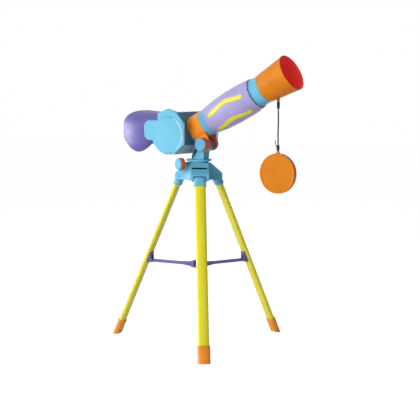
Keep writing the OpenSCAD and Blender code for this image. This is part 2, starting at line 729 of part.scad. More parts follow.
// Bracket and tube
module tube_bracket() {
    half = band_len / 2;
    color(orange) on_tube() difference() {
        union() {
            tube_ring(band_r, barrel_r - over, -half, half);
            for (s = [-1, 1]) translate([0, s * (ear_y + ear_t / 2), 0]) along_y(ear_t) linear_extrude(ear_t) {
                translate([tube_rise, 0]) circle(ear_r);
                polygon([[10, -half], [band_r - 4, -half], [tube_rise, -ear_r],
                    [tube_rise, ear_r], [band_r - 4, half], [10, half]]);
            }
        }
        translate([0, 0, -half - over]) cylinder(r = barrel_r + seat_gap, h = band_len + 2 * over);
        translate([tube_rise, 0, 0]) along_y(2 * ear_out + 2 * over)
            cylinder(r = tilt_bolt_r + run_gap, h = 2 * ear_out + 2 * over);
    }
}
module barrel_tube() {
    sleeve_end = sleeve_at + sleeve_len;
    color(sky) on_tube() rotate_extrude() polygon([
        [bore_r, barrel_tail], [barrel_r, barrel_tail], [barrel_r, collar_at], [barrel_r + 1.4, collar_at],
        [rear_collar_r, sleeve_at - face_gap], [core_r, sleeve_at - face_gap], [core_r, spigot_end],
        [bore_r, spigot_end], [bore_r, lens_at], [bore_r - lens_ledge, lens_at],
        [bore_r - lens_ledge, lens_at - 2], [bore_r, lens_at - 4]]);
}
module sleeve_shape(grow) {
    steps = 10;
    rotate_extrude() polygon(concat(
        [[core_r + seat_gap, sleeve_at], [core_r + seat_gap, sleeve_at + sleeve_len]],
        [for (k = [steps : -1 : 0]) [sleeve_r_at(k / steps) + grow, sleeve_at + sleeve_len * k / steps]]));
}
module sleeve_hollow() {
    steps = 10;
    from = sleeve_at + sleeve_len / steps;
    to = sleeve_at + sleeve_len * (steps - 1) / steps;
    rotate_extrude() polygon(concat([[core_r, to], [core_r, from]],
        [for (k = [1 : steps - 1]) [max(core_r + seat_gap, sleeve_r_at(k / steps) - sleeve_wall),
            sleeve_at + sleeve_len * k / steps]]));
}
module wave_strip(hand) {
    steps = 14;
    function mid(k) = [hand * wave_swing * cos(360 * k / steps), wave_len * k / steps];
    function side(k) = let (v = mid(k + 0.5) - mid(k - 0.5), u = v / norm(v)) wave_w / 2 * [-u[1], u[0]];
    polygon(concat([for (k = [0 : steps]) mid(k) + side(k)], [for (k = [steps : -1 : 0]) mid(k) - side(k)]));
    for (k = [0, steps]) translate(mid(k)) circle(wave_w / 2);
}
module wave_prisms(from) {
    for (a = wave_turns) rotate(180 - a) translate([from, 0, wave_at]) rotate([90, 0, 90])
        linear_extrude(20) wave_strip(-sign(a));
}
module grip_sleeve() {
    color(lavender) on_tube() difference() {
        sleeve_shape(0);
        sleeve_hollow();
    }
}
module wave_grips() {
    color(yellow) on_tube() difference() {
        intersection() {
            wave_prisms(core_r + 0.5);
            sleeve_shape(wave_rise);
        }
        sleeve_shape(seat_gap);
    }
}
module front_collar() {
    lip = front_collar_r + 1;
    color(sky) on_tube() rotate_extrude() polygon([[core_r + seat_gap, front_at], [lip, front_at],
        [lip, front_at + 1.6], [front_collar_r, front_at + 2.6], [front_collar_r, hood_at - 0.3],
        [core_r + seat_gap, hood_at - 0.3]]);
}
module hood() {
    in_r = hood_r_at(hood_seat) - hood_wall;
    color(orange) on_tube() difference() {
        union() {
            rotate_extrude() polygon([[core_r + seat_gap, hood_at], [hood_rear_r - 0.8, hood_at],
                [hood_rear_r, hood_at + 0.8], [hood_mouth_r - 0.5, mouth_at],
                [hood_mouth_r - hood_wall, mouth_at],
                [in_r, hood_at + hood_seat], [core_r + seat_gap, hood_at + hood_seat]]);
            difference() {
                translate([eye_drop, 0, hood_at + hood_eye_at]) along_y(hood_eye_t) union() {
                    cylinder(r = hood_eye_r, h = hood_eye_t);
                    translate([-5, -hood_eye_r, 0]) cube([5, 2 * hood_eye_r, hood_eye_t]);
                }
                translate([0, 0, hood_at]) cylinder(r1 = hood_rear_r - 1, r2 = hood_mouth_r - 1, h = hood_len);
            }
        }
        translate([eye_drop, 0, hood_at + hood_eye_at]) along_y(hood_eye_t + 2 * over)
            cylinder(r = hood_eye_hole, h = hood_eye_t + 2 * over);
    }
}
module objective_lens() {
    color(clear) on_tube() translate([0, 0, lens_at + lens_seat])
        lens(bore_r - seat_gap, lens_edge_t, lens_bulge, lens_bulge);
}
// A lens standing on its edge: its faces bulge by the two given heights
module lens(r, edge, low_bulge, high_bulge) {
    steps = 6;
    function face(k, bulge) = bulge * (1 - pow(k / steps, 2));
    rotate_extrude() polygon(concat([for (k = [steps : -1 : 0]) [r * k / steps, -face(k, low_bulge)]],
        [for (k = [0 : steps]) [r * k / steps, edge + face(k, high_bulge)]]));
}
module lens_ring() {
    color(dark) on_tube() tube_ring(bore_r - seat_gap, bore_r - lens_ring_wall,
        lens_at + lens_edge_t + 2 * lens_seat, lens_at + lens_edge_t + 2 * lens_seat + lens_ring_t);
}

// Housing
module housing_drum() {
    color(sky) difference() {
        union() {
            at_housing() difference() {
                across(drum_w) polygon(drum_outline);
                across(drum_w + 2 * over) polygon(drawn_in(drum_outline, drum_wall));
            }
            at_housing() for (p = screw_places) for (s = [-1, 1])
                translate([p[0], s * (cover_y - screw_len / 2), p[1]])
                    along_y(screw_len) cylinder(r = screw_boss_r, h = screw_len);
        }
        on_tube() translate([0, 0, barrel_tail - 30]) cylinder(r = barrel_r + seat_gap, h = 31 - barrel_tail);
        at_housing() for (s = [-1, 1]) translate([-drum_rear - over, s * eye_spacing / 2, eye_z])
            rotate([0, 90, 0]) cylinder(r = eyepiece_r - eye_bore_wall + seat_gap, h = drum_wall + 2 * over);
        at_housing() screw_holes(screw_r + seat_gap, 1);
        at_housing() screw_holes(screw_r + seat_gap, -1);
    }
}
module screw_holes(r, s) {
    for (p = screw_places) translate([p[0], s * cover_y, p[1]])
        along_y(4 * screw_len) cylinder(r = r, h = 4 * screw_len);
}
module side_cover(s) {
    thick = cover_t + boss_t;
    color(sky) at_housing() difference() {
        union() {
            across(cover_t, s * (cover_y + cover_t / 2)) polygon(cover_outline(s));
            across(thick, s * (cover_y + thick / 2)) {
                translate(boss_mid) circle(boss_r);
                translate([0, tab_mid]) {
                    for (e = [-1, 1]) translate([-tab_reach + tab_corner, e * (tab_h / 2 - tab_corner)])
                        circle(tab_corner);
                    translate([-tab_reach + tab_corner, -tab_h / 2]) square([tab_reach - tab_corner, tab_h]);
                    translate([-tab_reach, -tab_h / 2 + tab_corner])
                        square([tab_corner, tab_h - 2 * tab_corner]);
                }
            }
        }
        across(2 * (thick - boss_wall), s * cover_y) translate(boss_mid) circle(boss_r - cover_t);
        if (s > 0) {
            screw_holes(screw_r + seat_gap, s);
            for (p = screw_places) translate([p[0], cover_y + cover_t - screw_head_t, p[1]])
                rotate([-90, 0, 0]) cylinder(r = screw_head_r + seat_gap, h = thick);
        }
    }
}
module cover_screws() {
    color(steel) at_housing() for (p = screw_places)
        translate([p[0], cover_y + cover_t - screw_head_t, p[1]]) rotate([-90, 0, 0]) {
            translate([0, 0, -screw_len]) cylinder(r = screw_r, h = screw_len);
            cylinder(r = screw_head_r, h = screw_head_t);
        }
}
module eyepiece(s) {
    color(dark) at_housing() translate([-drum_rear, s * eye_spacing / 2, eye_z])
        rotate([0, -90, 0]) difference() {
        union() {
            cylinder(r = eyepiece_r, h = eyepiece_len);
            translate([0, 0, -drum_wall - 3]) cylinder(r = eyepiece_r - eye_bore_wall, h = drum_wall + 3);
        }
        translate([0, 0, -drum_wall - 3 - over])
            cylinder(r = eyepiece_r - 2 * eye_bore_wall, h = eyepiece_len + drum_wall + 3 + 2 * over);
        translate([0, 0, eyepiece_len - eye_lens_in])
            cylinder(r = eyepiece_r - eye_bore_wall, h = eye_lens_in + over);
    }
}
module eye_lens(s) {
    color(clear) at_housing() translate([-drum_rear - eyepiece_len + eye_lens_in, s * eye_spacing / 2, eye_z])
        rotate([0, -90, 0]) lens(eyepiece_r - eye_bore_wall - seat_gap, eye_lens_t, 0, eye_lens_bulge);
}
module optics_tray() {
    floor_z = -drum_bottom + drum_wall;
    color(dark) at_housing() {
        translate([-tray_back, -tray_w / 2, tray_z]) cube([tray_len, tray_w, tray_t]);
        for (s = [-1, 1]) translate([-tray_back / 2, s * tray_w * 3 / 8 - tray_leg / 2, floor_z])
            cube([tray_len - tray_back, tray_leg, tray_z - floor_z]);
    }
}
module beam_splitter() {
    color(clear) at_housing() translate([-prism / 2, -prism / 2, tray_z + tray_t]) cube(prism);
}
module side_mirrors() {
    color(steel) at_housing() for (s = [-1, 1]) translate([-mirror_t, s * eye_spacing / 2, tray_z + tray_t])
        rotate(s * 45) translate([-mirror_len / 2 - mirror_t / 2, -mirror_t / 2, 0])
            cube([mirror_len, mirror_t, mirror_len]);
}

// Goggle: rings of corners swept from the housing to the rim and back inside
module goggle() {
    n = goggle_segments;
    m = goggle_rings;
    function blend(s) = pow(1 - s, 3) * goggle_neck + 3 * s * pow(1 - s, 2) * goggle_shoulder
        + 3 * s * s * (1 - s) * goggle_flare + pow(s, 3) * goggle_rim;
    function squared(c, e) = sign(c) * pow(abs(c), e);
    function ring(s, inset) = let (b = blend(s)) [for (k = [0 : n - 1])
        let (a = 360 * k / n, e = a < 180 ? brow_square : cheek_square,
             c = squared(cos(a), e), d = squared(sin(a), e),
             shape = s * s * (goggle_wrap * c * c - nose_notch * pow(max(0, -sin(a)), 8)))
        [-drum_rear - face_gap / 4 - b[0] - shape * (1 - inset / 30), (b[1] - inset) * c,
         b[3] + (b[2] - inset) * d
             + nose_rise * (1 - pow(1 - s, 3)) * pow(max(0, -sin(a)), 12)]];
    outer = [for (i = [0 : m]) ring(i / m, 0)];
    inner = [for (i = [m : -1 : 0]) ring(i / m, goggle_wall)];
    rings = concat(outer, inner);
    pts = [for (r = rings) each r];
    count = len(rings);
    faces = [for (i = [0 : count - 1]) for (k = [0 : n - 1])
        let (a = i * n + k, b = i * n + (k + 1) % n, below = ((i + 1) % count) * n,
             c = below + (k + 1) % n, d = below + k)
        each [[a, b, c], [a, c, d]]];
    color(purple) at_housing() polyhedron(pts, faces, convexity = 6);
}

// Cord and lens cap
module cord_knot_top() {
    color(dark) translate(eye_place - [0, 0, hood_eye_r + 0.1 + knot_r]) {
        sphere(knot_r);
        translate([0, 0, -knot_h + 2 * knot_r]) cylinder(r = knot_r - 0.3, h = knot_h - 2 * knot_r);
        translate([0, 0, -knot_h + 2 * knot_r]) sphere(knot_r - 0.5);
    }
}
module cord_loop() {
    color(dark) cord_tube([for (p = loop_route) eye_place + p], cord_d, cord_sides);
}
module cord_strand(s) {
    color(dark) cord_tube([for (p = strand_route) eye_place + [p[0], s * p[1], p[2]]], cord_d, cord_sides);
}
module cord_tail() {
    color(dark) cord_tube([for (p = tail_route) eye_place + p], cord_d, cord_sides);
}
module cord_knot_low() {
    color(dark) translate(eye_place - [0, 0, cord_hang - cap_eye_r - 0.1 - knot_r]) {
        sphere(knot_r);
        cylinder(r = knot_r - 0.3, h = low_knot_h - 2 * knot_r);
        translate([0, 0, low_knot_h - 2 * knot_r]) sphere(knot_r - 0.4);
    }
}
module lens_cap() {
    lug = cap_r + 1.4;
    deep = cap_t + cap_hollow;
    color(orange) translate(eye_place - [0, -deep / 2, cord_hang + lug]) rotate([90, 0, 0]) difference() {
        union() {
            rotate_extrude() polygon([[0, cap_hollow], [cap_r - cap_wall, cap_hollow], [cap_r - cap_wall, 0],
                [cap_r, 0], [cap_r, deep - 0.8], [cap_r - 0.8, deep], [cap_r - cap_rim_w, deep],
                [cap_r - cap_rim_w - cap_sink, deep - cap_sink], [0, deep - cap_sink]]);
            translate([0, lug, deep / 2 - cap_eye_t / 2]) {
                cylinder(r = cap_eye_r, h = cap_eye_t);
                translate([-cap_eye_r, -cap_wall - 1, 0]) cube([2 * cap_eye_r, cap_wall + 1, cap_eye_t]);
            }
        }
        translate([0, lug, -over]) cylinder(r = hood_eye_hole, h = deep + 2 * over);
        translate([0, 0, -over]) cylinder(r = cap_r - cap_wall, h = cap_hollow + over);
    }
}

tripod_head();
leg_hinge_pins();
head_base_plate();
base_plate_screws();
leg_socket(0);  // leg_socket_front
leg_socket(1);  // leg_socket_left
leg_socket(2);  // leg_socket_rear
leg_tube(0);  // leg_tube_front
leg_tube(1);  // leg_tube_left
leg_tube(2);  // leg_tube_rear
foot(0);  // foot_front
foot(1);  // foot_left
foot(2);  // foot_rear
arm_clip(0);  // arm_clip_front
arm_clip(1);  // arm_clip_left
arm_clip(2);  // arm_clip_rear
spreader_arm(0);  // spreader_arm_front
spreader_arm(1);  // spreader_arm_left
spreader_arm(2);  // spreader_arm_rear
spreader_hub();
spreader_studs();
pan_yoke();
pan_washer();
pan_screw();
pan_knob();
pan_knob_cap();
pan_lock_screw();
tilt_bolt();
tilt_nut();
tilt_knob();
tilt_knob_cap();
tube_bracket();
barrel_tube();
grip_sleeve();
wave_grips();
front_collar();
hood();
objective_lens();
lens_ring();
housing_drum();
side_cover(-1);  // side_cover_right
side_cover(1);  // side_cover_left
cover_screws();
goggle();
eyepiece(-1);  // eyepiece_right
eyepiece(1);  // eyepiece_left
eye_lens(-1);  // eye_lens_right
eye_lens(1);  // eye_lens_left
optics_tray();
beam_splitter();
side_mirrors();
cord_knot_top();
cord_loop();
cord_strand(-1);  // cord_strand_right
cord_strand(1);  // cord_strand_left
cord_tail();
cord_knot_low();
lens_cap();
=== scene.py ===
"""Looks of the toy telescope: mouldings, cord, finishes, studio and camera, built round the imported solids."""

import json
import logging
import math
from dataclasses import dataclass
from enum import Enum
from typing import Callable

import bmesh
import bpy
from mathutils import Matrix, Vector


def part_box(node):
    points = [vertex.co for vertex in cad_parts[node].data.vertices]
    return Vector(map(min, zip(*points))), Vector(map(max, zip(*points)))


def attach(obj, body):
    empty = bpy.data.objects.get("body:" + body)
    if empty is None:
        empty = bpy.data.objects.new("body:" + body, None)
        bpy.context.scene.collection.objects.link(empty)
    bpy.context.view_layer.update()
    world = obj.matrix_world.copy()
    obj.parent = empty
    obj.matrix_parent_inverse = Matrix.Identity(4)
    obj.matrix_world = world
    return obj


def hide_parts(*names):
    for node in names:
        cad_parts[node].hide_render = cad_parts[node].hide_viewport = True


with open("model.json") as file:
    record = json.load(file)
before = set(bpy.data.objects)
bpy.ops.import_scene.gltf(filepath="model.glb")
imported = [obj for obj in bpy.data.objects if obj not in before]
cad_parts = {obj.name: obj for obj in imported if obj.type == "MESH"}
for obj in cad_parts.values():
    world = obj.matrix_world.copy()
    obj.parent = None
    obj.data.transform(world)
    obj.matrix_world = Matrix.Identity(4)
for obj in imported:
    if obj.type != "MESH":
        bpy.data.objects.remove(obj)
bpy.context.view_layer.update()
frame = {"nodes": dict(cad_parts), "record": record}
LOG = logging.getLogger("toy_telescope")

MM = 0.001
# The tilt bolt's axis, as x and z in millimetres
TILT_BOLT = (20.0, 350.5)
Colour = tuple[float, float, float]
Point = tuple[float, float, float]
Route = tuple[Point, ...]
Station = tuple[float, float, float, float]
Edges = list[bmesh.types.BMEdge]
Face = bpy.types.MeshPolygon
Material = bpy.types.Material
Mesh = bmesh.types.BMesh
Socket = bpy.types.NodeSocket
Piece = bpy.types.Object


def from_srgb(shade: tuple[int, int, int]) -> Colour:
    """Turn an 8-bit display colour into scene-linear values.

    Args:
        shade: Red, green and blue, 0 to 255.

    Returns:
        The same colour in linear light.
    """
    def linear(value: int) -> float:
        """One channel in linear light."""
        share = value / 255
        return share / 12.92 if share <= 0.04045 else ((share + 0.055) / 1.055) ** 2.4

    return tuple(linear(value) for value in shade)


def new_object(name: str, data: bpy.types.ID) -> Piece:
    """Make an object and put it in the scene.

    Args:
        name: The object's name.
        data: Its mesh, curve, light or camera.

    Returns:
        The object.
    """
    thing = bpy.data.objects.new(name, data)
    bpy.context.scene.collection.objects.link(thing)
    return thing


class Finish(Enum):
    """The finishes that the pieces take, by the record's slot names."""

    SKY = "sky"
    ORANGE = "orange"
    YELLOW = "yellow"
    PURPLE = "purple"
    LAVENDER = "lavender"
    GRIP = "grip_yellow"
    CORD = "cord_black"
    DARK = "dark"
    STEEL = "steel"
    LENS = "lens"
    MIRROR = "mirror"


@dataclass
class NodeTree:
    """A small helper that adds and links the nodes of one tree."""

    tree: bpy.types.NodeTree

    def add(self, kind: str, **inputs: object) -> bpy.types.Node:
        """Add a node and set or link its inputs.

        Args:
            kind: The node's type name.
            **inputs: Values or sockets by input name, with underscores for spaces.

        Returns:
            The new node.
        """
        node = self.tree.nodes.new(kind)
        for key, value in inputs.items():
            self.feed(node, key.replace("_", " "), value)
        return node

    def feed(self, node: bpy.types.Node, socket: str | int, value: object) -> None:
        """Set an input to a value, or link it to another node's output.

        Args:
            node: The node.
            socket: The input's name or number.
            value: The value or the output.
        """
        if isinstance(value, Socket):
            self.tree.links.new(value, node.inputs[socket])
        else:
            node.inputs[socket].default_value = value

    def combine(self, operation: str, first: object, second: object) -> Socket:
        """Work out a value from two others.

        Args:
            operation: What is done with them.
            first: A value or socket.
            second: The other one.

        Returns:
            The result's socket.
        """
        node = self.add("ShaderNodeMath")
        node.operation = operation
        self.feed(node, 0, first)
        self.feed(node, 1, second)
        return node.outputs[0]

    def seen_rays(self) -> Socket:
        """One for camera, glossy and transmission rays, nought for the rest.

        Returns:
            The factor's socket.
        """
        path = self.add("ShaderNodeLightPath")
        seen = self.combine("MAXIMUM", path.outputs["Is Camera Ray"], path.outputs["Is Glossy Ray"])
        return self.combine("MAXIMUM", seen, path.outputs["Is Transmission Ray"])


class NodeGraph(NodeTree):
    """The nodes of one piece's material, round its main shader."""

    def __init__(self, name: str) -> None:
        """Start a material with only its output and main shader.

        Args:
            name: The material's name.
        """
        self.material = bpy.data.materials.new(name)
        self.material.use_nodes = True
        super().__init__(self.material.node_tree)
        self.shader = self.tree.nodes["Principled BSDF"]
        self.coords = self.add("ShaderNodeTexCoord")

    def shade(self, **inputs: object) -> None:
        """Set or link inputs of the main shader, named as in add."""
        for key, value in inputs.items():
            self.feed(self.shader, key.replace("_", " "), value)

    def noise(self, scale: float, detail: float, stretch: Point = (1, 1, 1)) -> Socket:
        """Noise on the object's own coordinates.

        Args:
            scale: Waves to the metre.
            detail: Octaves.
            stretch: How much the coordinates are scaled on each axis.

        Returns:
            The noise's factor socket.
        """
        place = self.add("ShaderNodeMapping", Vector=self.coords.outputs["Object"], Scale=stretch)
        node = self.add("ShaderNodeTexNoise", Vector=place.outputs["Vector"], Scale=scale, Detail=detail)
        return node.outputs["Fac"]

    def ramp(self, factor: Socket, low: float = 0.0, high: float = 1.0) -> Socket:
        """Spread the middle of a noise over a range of values."""
        node = self.add("ShaderNodeMapRange", Value=factor, From_Min=0.3, From_Max=0.7,
                        To_Min=low, To_Max=high)
        return node.outputs["Result"]

    def blend(self, factor: Socket, first: Colour, second: Colour) -> Socket:
        """Mix two colours by a factor.

        Args:
            factor: The share of the second colour.
            first: The first colour.
            second: The second colour.

        Returns:
            The mixed colour's socket.
        """
        node = self.tree.nodes.new("ShaderNodeMix")
        node.data_type = "RGBA"
        self.tree.links.new(factor, node.inputs["Factor"])
        ends = [socket for socket in node.inputs if socket.type == "RGBA"]
        for end, colour in zip(ends, (first, second)):
            end.default_value = (*colour, 1)
        return next(socket for socket in node.outputs if socket.type == "RGBA")

    def bump(self, height: Socket, distance: float, strength: float) -> None:
        """Raise the surface by a height map, whose full step is a distance in metres."""
        node = self.add("ShaderNodeBump", Height=height, Distance=distance, Strength=strength)
        self.shade(Normal=node.outputs["Normal"])


def scaled(colour: Colour, share: float) -> Colour:
    """A colour made darker or lighter by a share, up to white."""
    return tuple(min(1.0, channel * share) for channel in colour)


@dataclass(frozen=True)
class Surface:
    """What every finish has: a name, a colour and a material with nodes of its own."""

    name: str
    colour: Colour

    def material(self) -> Material:
        """Build the finish's material.

        Returns:
            The material.
        """
        graph = NodeGraph(self.name)
        self.wire(graph)
        return graph.material

    def wire(self, graph: NodeGraph) -> None:
        """Add the finish's own nodes to its material's graph."""
        raise NotImplementedError


@dataclass(frozen=True)
class MouldedPlastic(Surface):
    """Injection-moulded plastic: faint flow mottling in the colour and a fine texture from the mould. Its glow,
    where set, is painted light: the part shines though it is no lamp.
    """

    roughness: float = 0.36
    mottle: float = 0.07
    grain: float = 1500.0
    grain_depth: float = 0.00002
    shine: float = 0.32
    # glow: emission that paints light onto a part that is no lamp
    glow: float = 0.0
    flow: Point = (1, 1, 1)
    cloud: float = 28.0
    wear: float = 120.0

    def wire(self, graph: NodeGraph) -> None:
        """Mottle the colour, wear the roughness, raise the grain and add any painted glow.

        Args:
            graph: The material's nodes.
        """
        cloud = graph.ramp(graph.noise(self.cloud, 3, self.flow))
        dim, lit = scaled(self.colour, 1 - self.mottle), scaled(self.colour, 1 + self.mottle)
        worn = graph.ramp(graph.noise(self.wear, 4), self.roughness - 0.06, self.roughness + 0.08)
        graph.shade(Base_Color=graph.blend(cloud, dim, lit), Roughness=worn, Specular_IOR_Level=self.shine,
                    Emission_Color=(*self.colour, 1), Emission_Strength=self.glow)
        graph.bump(graph.noise(self.grain, 1), self.grain_depth, 0.6)


@dataclass(frozen=True)
class SoftRubber(Surface):
    """Grip rubber: a matt face with a fine pebbled texture."""

    cloud: float = 60.0
    wear: float = 220.0
    pebbles: float = 1400.0
    pebble_depth: float = 0.00006

    def wire(self, graph: NodeGraph) -> None:
        """Cloud the colour, wear the roughness and raise the pebbles.

        Args:
            graph: The material's nodes.
        """
        cloud = graph.ramp(graph.noise(self.cloud, 3))
        graph.shade(Base_Color=graph.blend(cloud, scaled(self.colour, 0.92), self.colour),
                    Roughness=graph.ramp(graph.noise(self.wear, 2), 0.5, 0.66))
        cells = graph.add("ShaderNodeTexVoronoi", Vector=graph.coords.outputs["Object"], Scale=self.pebbles)
        graph.bump(cells.outputs["Distance"], self.pebble_depth, 0.5)


@dataclass(frozen=True)
class TwistedCord(Surface):
    """Black cord of twisted yarn: slanting strands, fuzzy sheen."""

    slant: Point = (0.6, 0.5, 0.0)
    yarns: float = 420.0
    yarn_depth: float = 0.00018
    wear: float = 900.0

    def wire(self, graph: NodeGraph) -> None:
        """Stripe the colour by yarn, wear the roughness and raise the yarns.

        Args:
            graph: The material's nodes.
        """
        turn = graph.add("ShaderNodeMapping", Vector=graph.coords.outputs["Object"], Rotation=self.slant)
        wave = graph.add("ShaderNodeTexWave", Vector=turn.outputs["Vector"], Scale=self.yarns, Distortion=1.2)
        wave.bands_direction = "Z"
        graph.shade(Base_Color=graph.blend(wave.outputs["Fac"], self.colour, scaled(self.colour, 2.4)),
                    Roughness=graph.ramp(graph.noise(self.wear, 2), 0.62, 0.85), Sheen_Weight=0.06)
        graph.bump(wave.outputs["Fac"], self.yarn_depth, 0.8)


@dataclass(frozen=True)
class PlatedSteel(Surface):
    """Plated steel with fine turning marks."""

    marks: float = 900.0
    mark_depth: float = 0.00002
    wear: float = 300.0

    def wire(self, graph: NodeGraph) -> None:
        """Mark the metal, wear its roughness and raise the marks.

        Args:
            graph: The material's nodes.
        """
        marks = graph.noise(self.marks, 2, (1, 1, 0.08))
        graph.shade(Base_Color=graph.blend(graph.ramp(marks), scaled(self.colour, 0.82), self.colour),
                    Roughness=graph.ramp(graph.noise(self.wear, 3), 0.22, 0.38), Metallic=1.0)
        graph.bump(marks, self.mark_depth, 0.5)


@dataclass(frozen=True)
class ClearLens(Surface):
    """A moulded lens: clear, with a faint cool tint and the faintest ripple."""

    haze: float = 60.0
    ripple: float = 90.0
    ripple_depth: float = 0.00001

    def wire(self, graph: NodeGraph) -> None:
        """Let light through, haze the roughness and raise the ripple."""
        graph.shade(Base_Color=(*self.colour, 1), Transmission_Weight=0.92, IOR=1.49, Coat_Weight=0.4,
                    Roughness=graph.ramp(graph.noise(self.haze, 2), 0.015, 0.05))
        graph.bump(graph.noise(self.ripple, 1), self.ripple_depth, 0.3)


@dataclass(frozen=True)
class SilveredMirror(Surface):
    """Silvered plastic: a bright metal face with faint haze."""

    haze: float = 70.0

    def wire(self, graph: NodeGraph) -> None:
        """Haze the metal's colour and roughness."""
        haze = graph.noise(self.haze, 3)
        graph.shade(Base_Color=graph.blend(graph.ramp(haze), scaled(self.colour, 0.94), self.colour),
                    Roughness=graph.ramp(haze, 0.03, 0.09), Metallic=1.0)


class Palette:
    """All the finishes, each built once."""

    def __init__(self) -> None:
        """Build the materials by finish."""
        def plastic(name: str, shade: tuple[int, int, int], roughness: float, **looks: object) -> Material:
            """A moulded plastic by its display colour."""
            return MouldedPlastic(name, from_srgb(shade), roughness, **looks).material()

        sky = (106, 183, 213)
        self.by_finish: dict[Finish, Material] = {
            Finish.SKY: plastic("sky_plastic", sky, 0.4, shine=0.12),
            Finish.ORANGE: plastic("orange_plastic", (212, 124, 22), 0.42, shine=0.1),
            Finish.YELLOW: plastic("yellow_plastic", (226, 216, 44), 0.34, mottle=0.05, flow=(4, 4, 0.6)),
            Finish.PURPLE: plastic("purple_plastic", (100, 92, 164), 0.5, shine=0.45),
            Finish.LAVENDER: plastic("lavender_plastic", (166, 158, 208), 0.4),
            Finish.GRIP: SoftRubber("yellow_grip", from_srgb((226, 221, 56))).material(),
            Finish.CORD: TwistedCord("black_cord", (0.006, 0.006, 0.007)).material(),
            Finish.DARK: MouldedPlastic("dark_plastic", (0.018, 0.018, 0.022), 0.5).material(),
            Finish.STEEL: PlatedSteel("plated_steel", (0.66, 0.66, 0.68)).material(),
            Finish.LENS: ClearLens("clear_lens", (0.9, 0.96, 1.0)).material(),
            Finish.MIRROR: SilveredMirror("silvered_mirror", (0.85, 0.87, 0.9)).material(),
        }
        # painted shade: a darker copy of the sky plastic for the drum, whose side faces away from the light
        self.drum_painted_shade = plastic("drum_painted_shade", (72, 138, 168), 0.42, shine=0.15)
        # painted reflection: a pale base on the drum's underside stands in for the white floor mirrored there
        self.drum_underside_painted_reflection = plastic("drum_underside_painted_reflection", (192, 206, 216), 0.16, shine=1.0)
        # painted shade: dark teal for the yoke's barrel between the band's ears, which lies in shadow
        self.barrel_painted_shade = plastic("barrel_painted_shade", (34, 70, 88), 0.4)
        # painted shade: dark teal for the gusset behind the yoke's tongue, which lies in shadow
        self.gusset_painted_shade = plastic("gusset_painted_shade", (40, 96, 132), 0.5, shine=0.1)
        # painted shade: a red for the band's ears, standing for the orange plastic in shade
        self.ear_painted_shade = plastic("ear_painted_shade", (206, 76, 44), 0.38)
        # painted shade: a redder orange for the lens cap's rim, standing for the orange plastic in shade
        self.cap_rim_painted_shade = plastic("cap_rim_painted_shade", (218, 96, 54), 0.38)
        # painted highlight: a pale, glowing sky for the crescent along each cover boss's edge
        self.boss_painted_highlight = plastic("boss_painted_highlight", (186, 228, 246), 0.3, glow=0.15)
        self.cap_sky = plastic("cap_sky", sky, 0.5, shine=0.05)
        # painted light: a brighter orange that glows, so the band looks lit where the housing shades it
        self.band_painted_light = plastic("band_painted_light", (248, 146, 34), 0.38, glow=0.1)
        self.foot_orange = plastic("foot_orange", (232, 142, 40), 0.38)
        # painted shade: a redder orange for the knob skirts, standing for the orange plastic in shade
        self.knob_painted_shade = plastic("knob_painted_shade", (216, 86, 34), 0.4)
        # painted shade and glow: a glowing red for the hood's inner wall, standing for its orange plastic in
        # shade
        self.hood_inside_painted_shade_glow = plastic("hood_inside_painted_shade_glow", (236, 66, 62), 0.42, glow=0.2)

    def __getitem__(self, finish: Finish) -> Material:
        """The material of a finish."""
        return self.by_finish[finish]


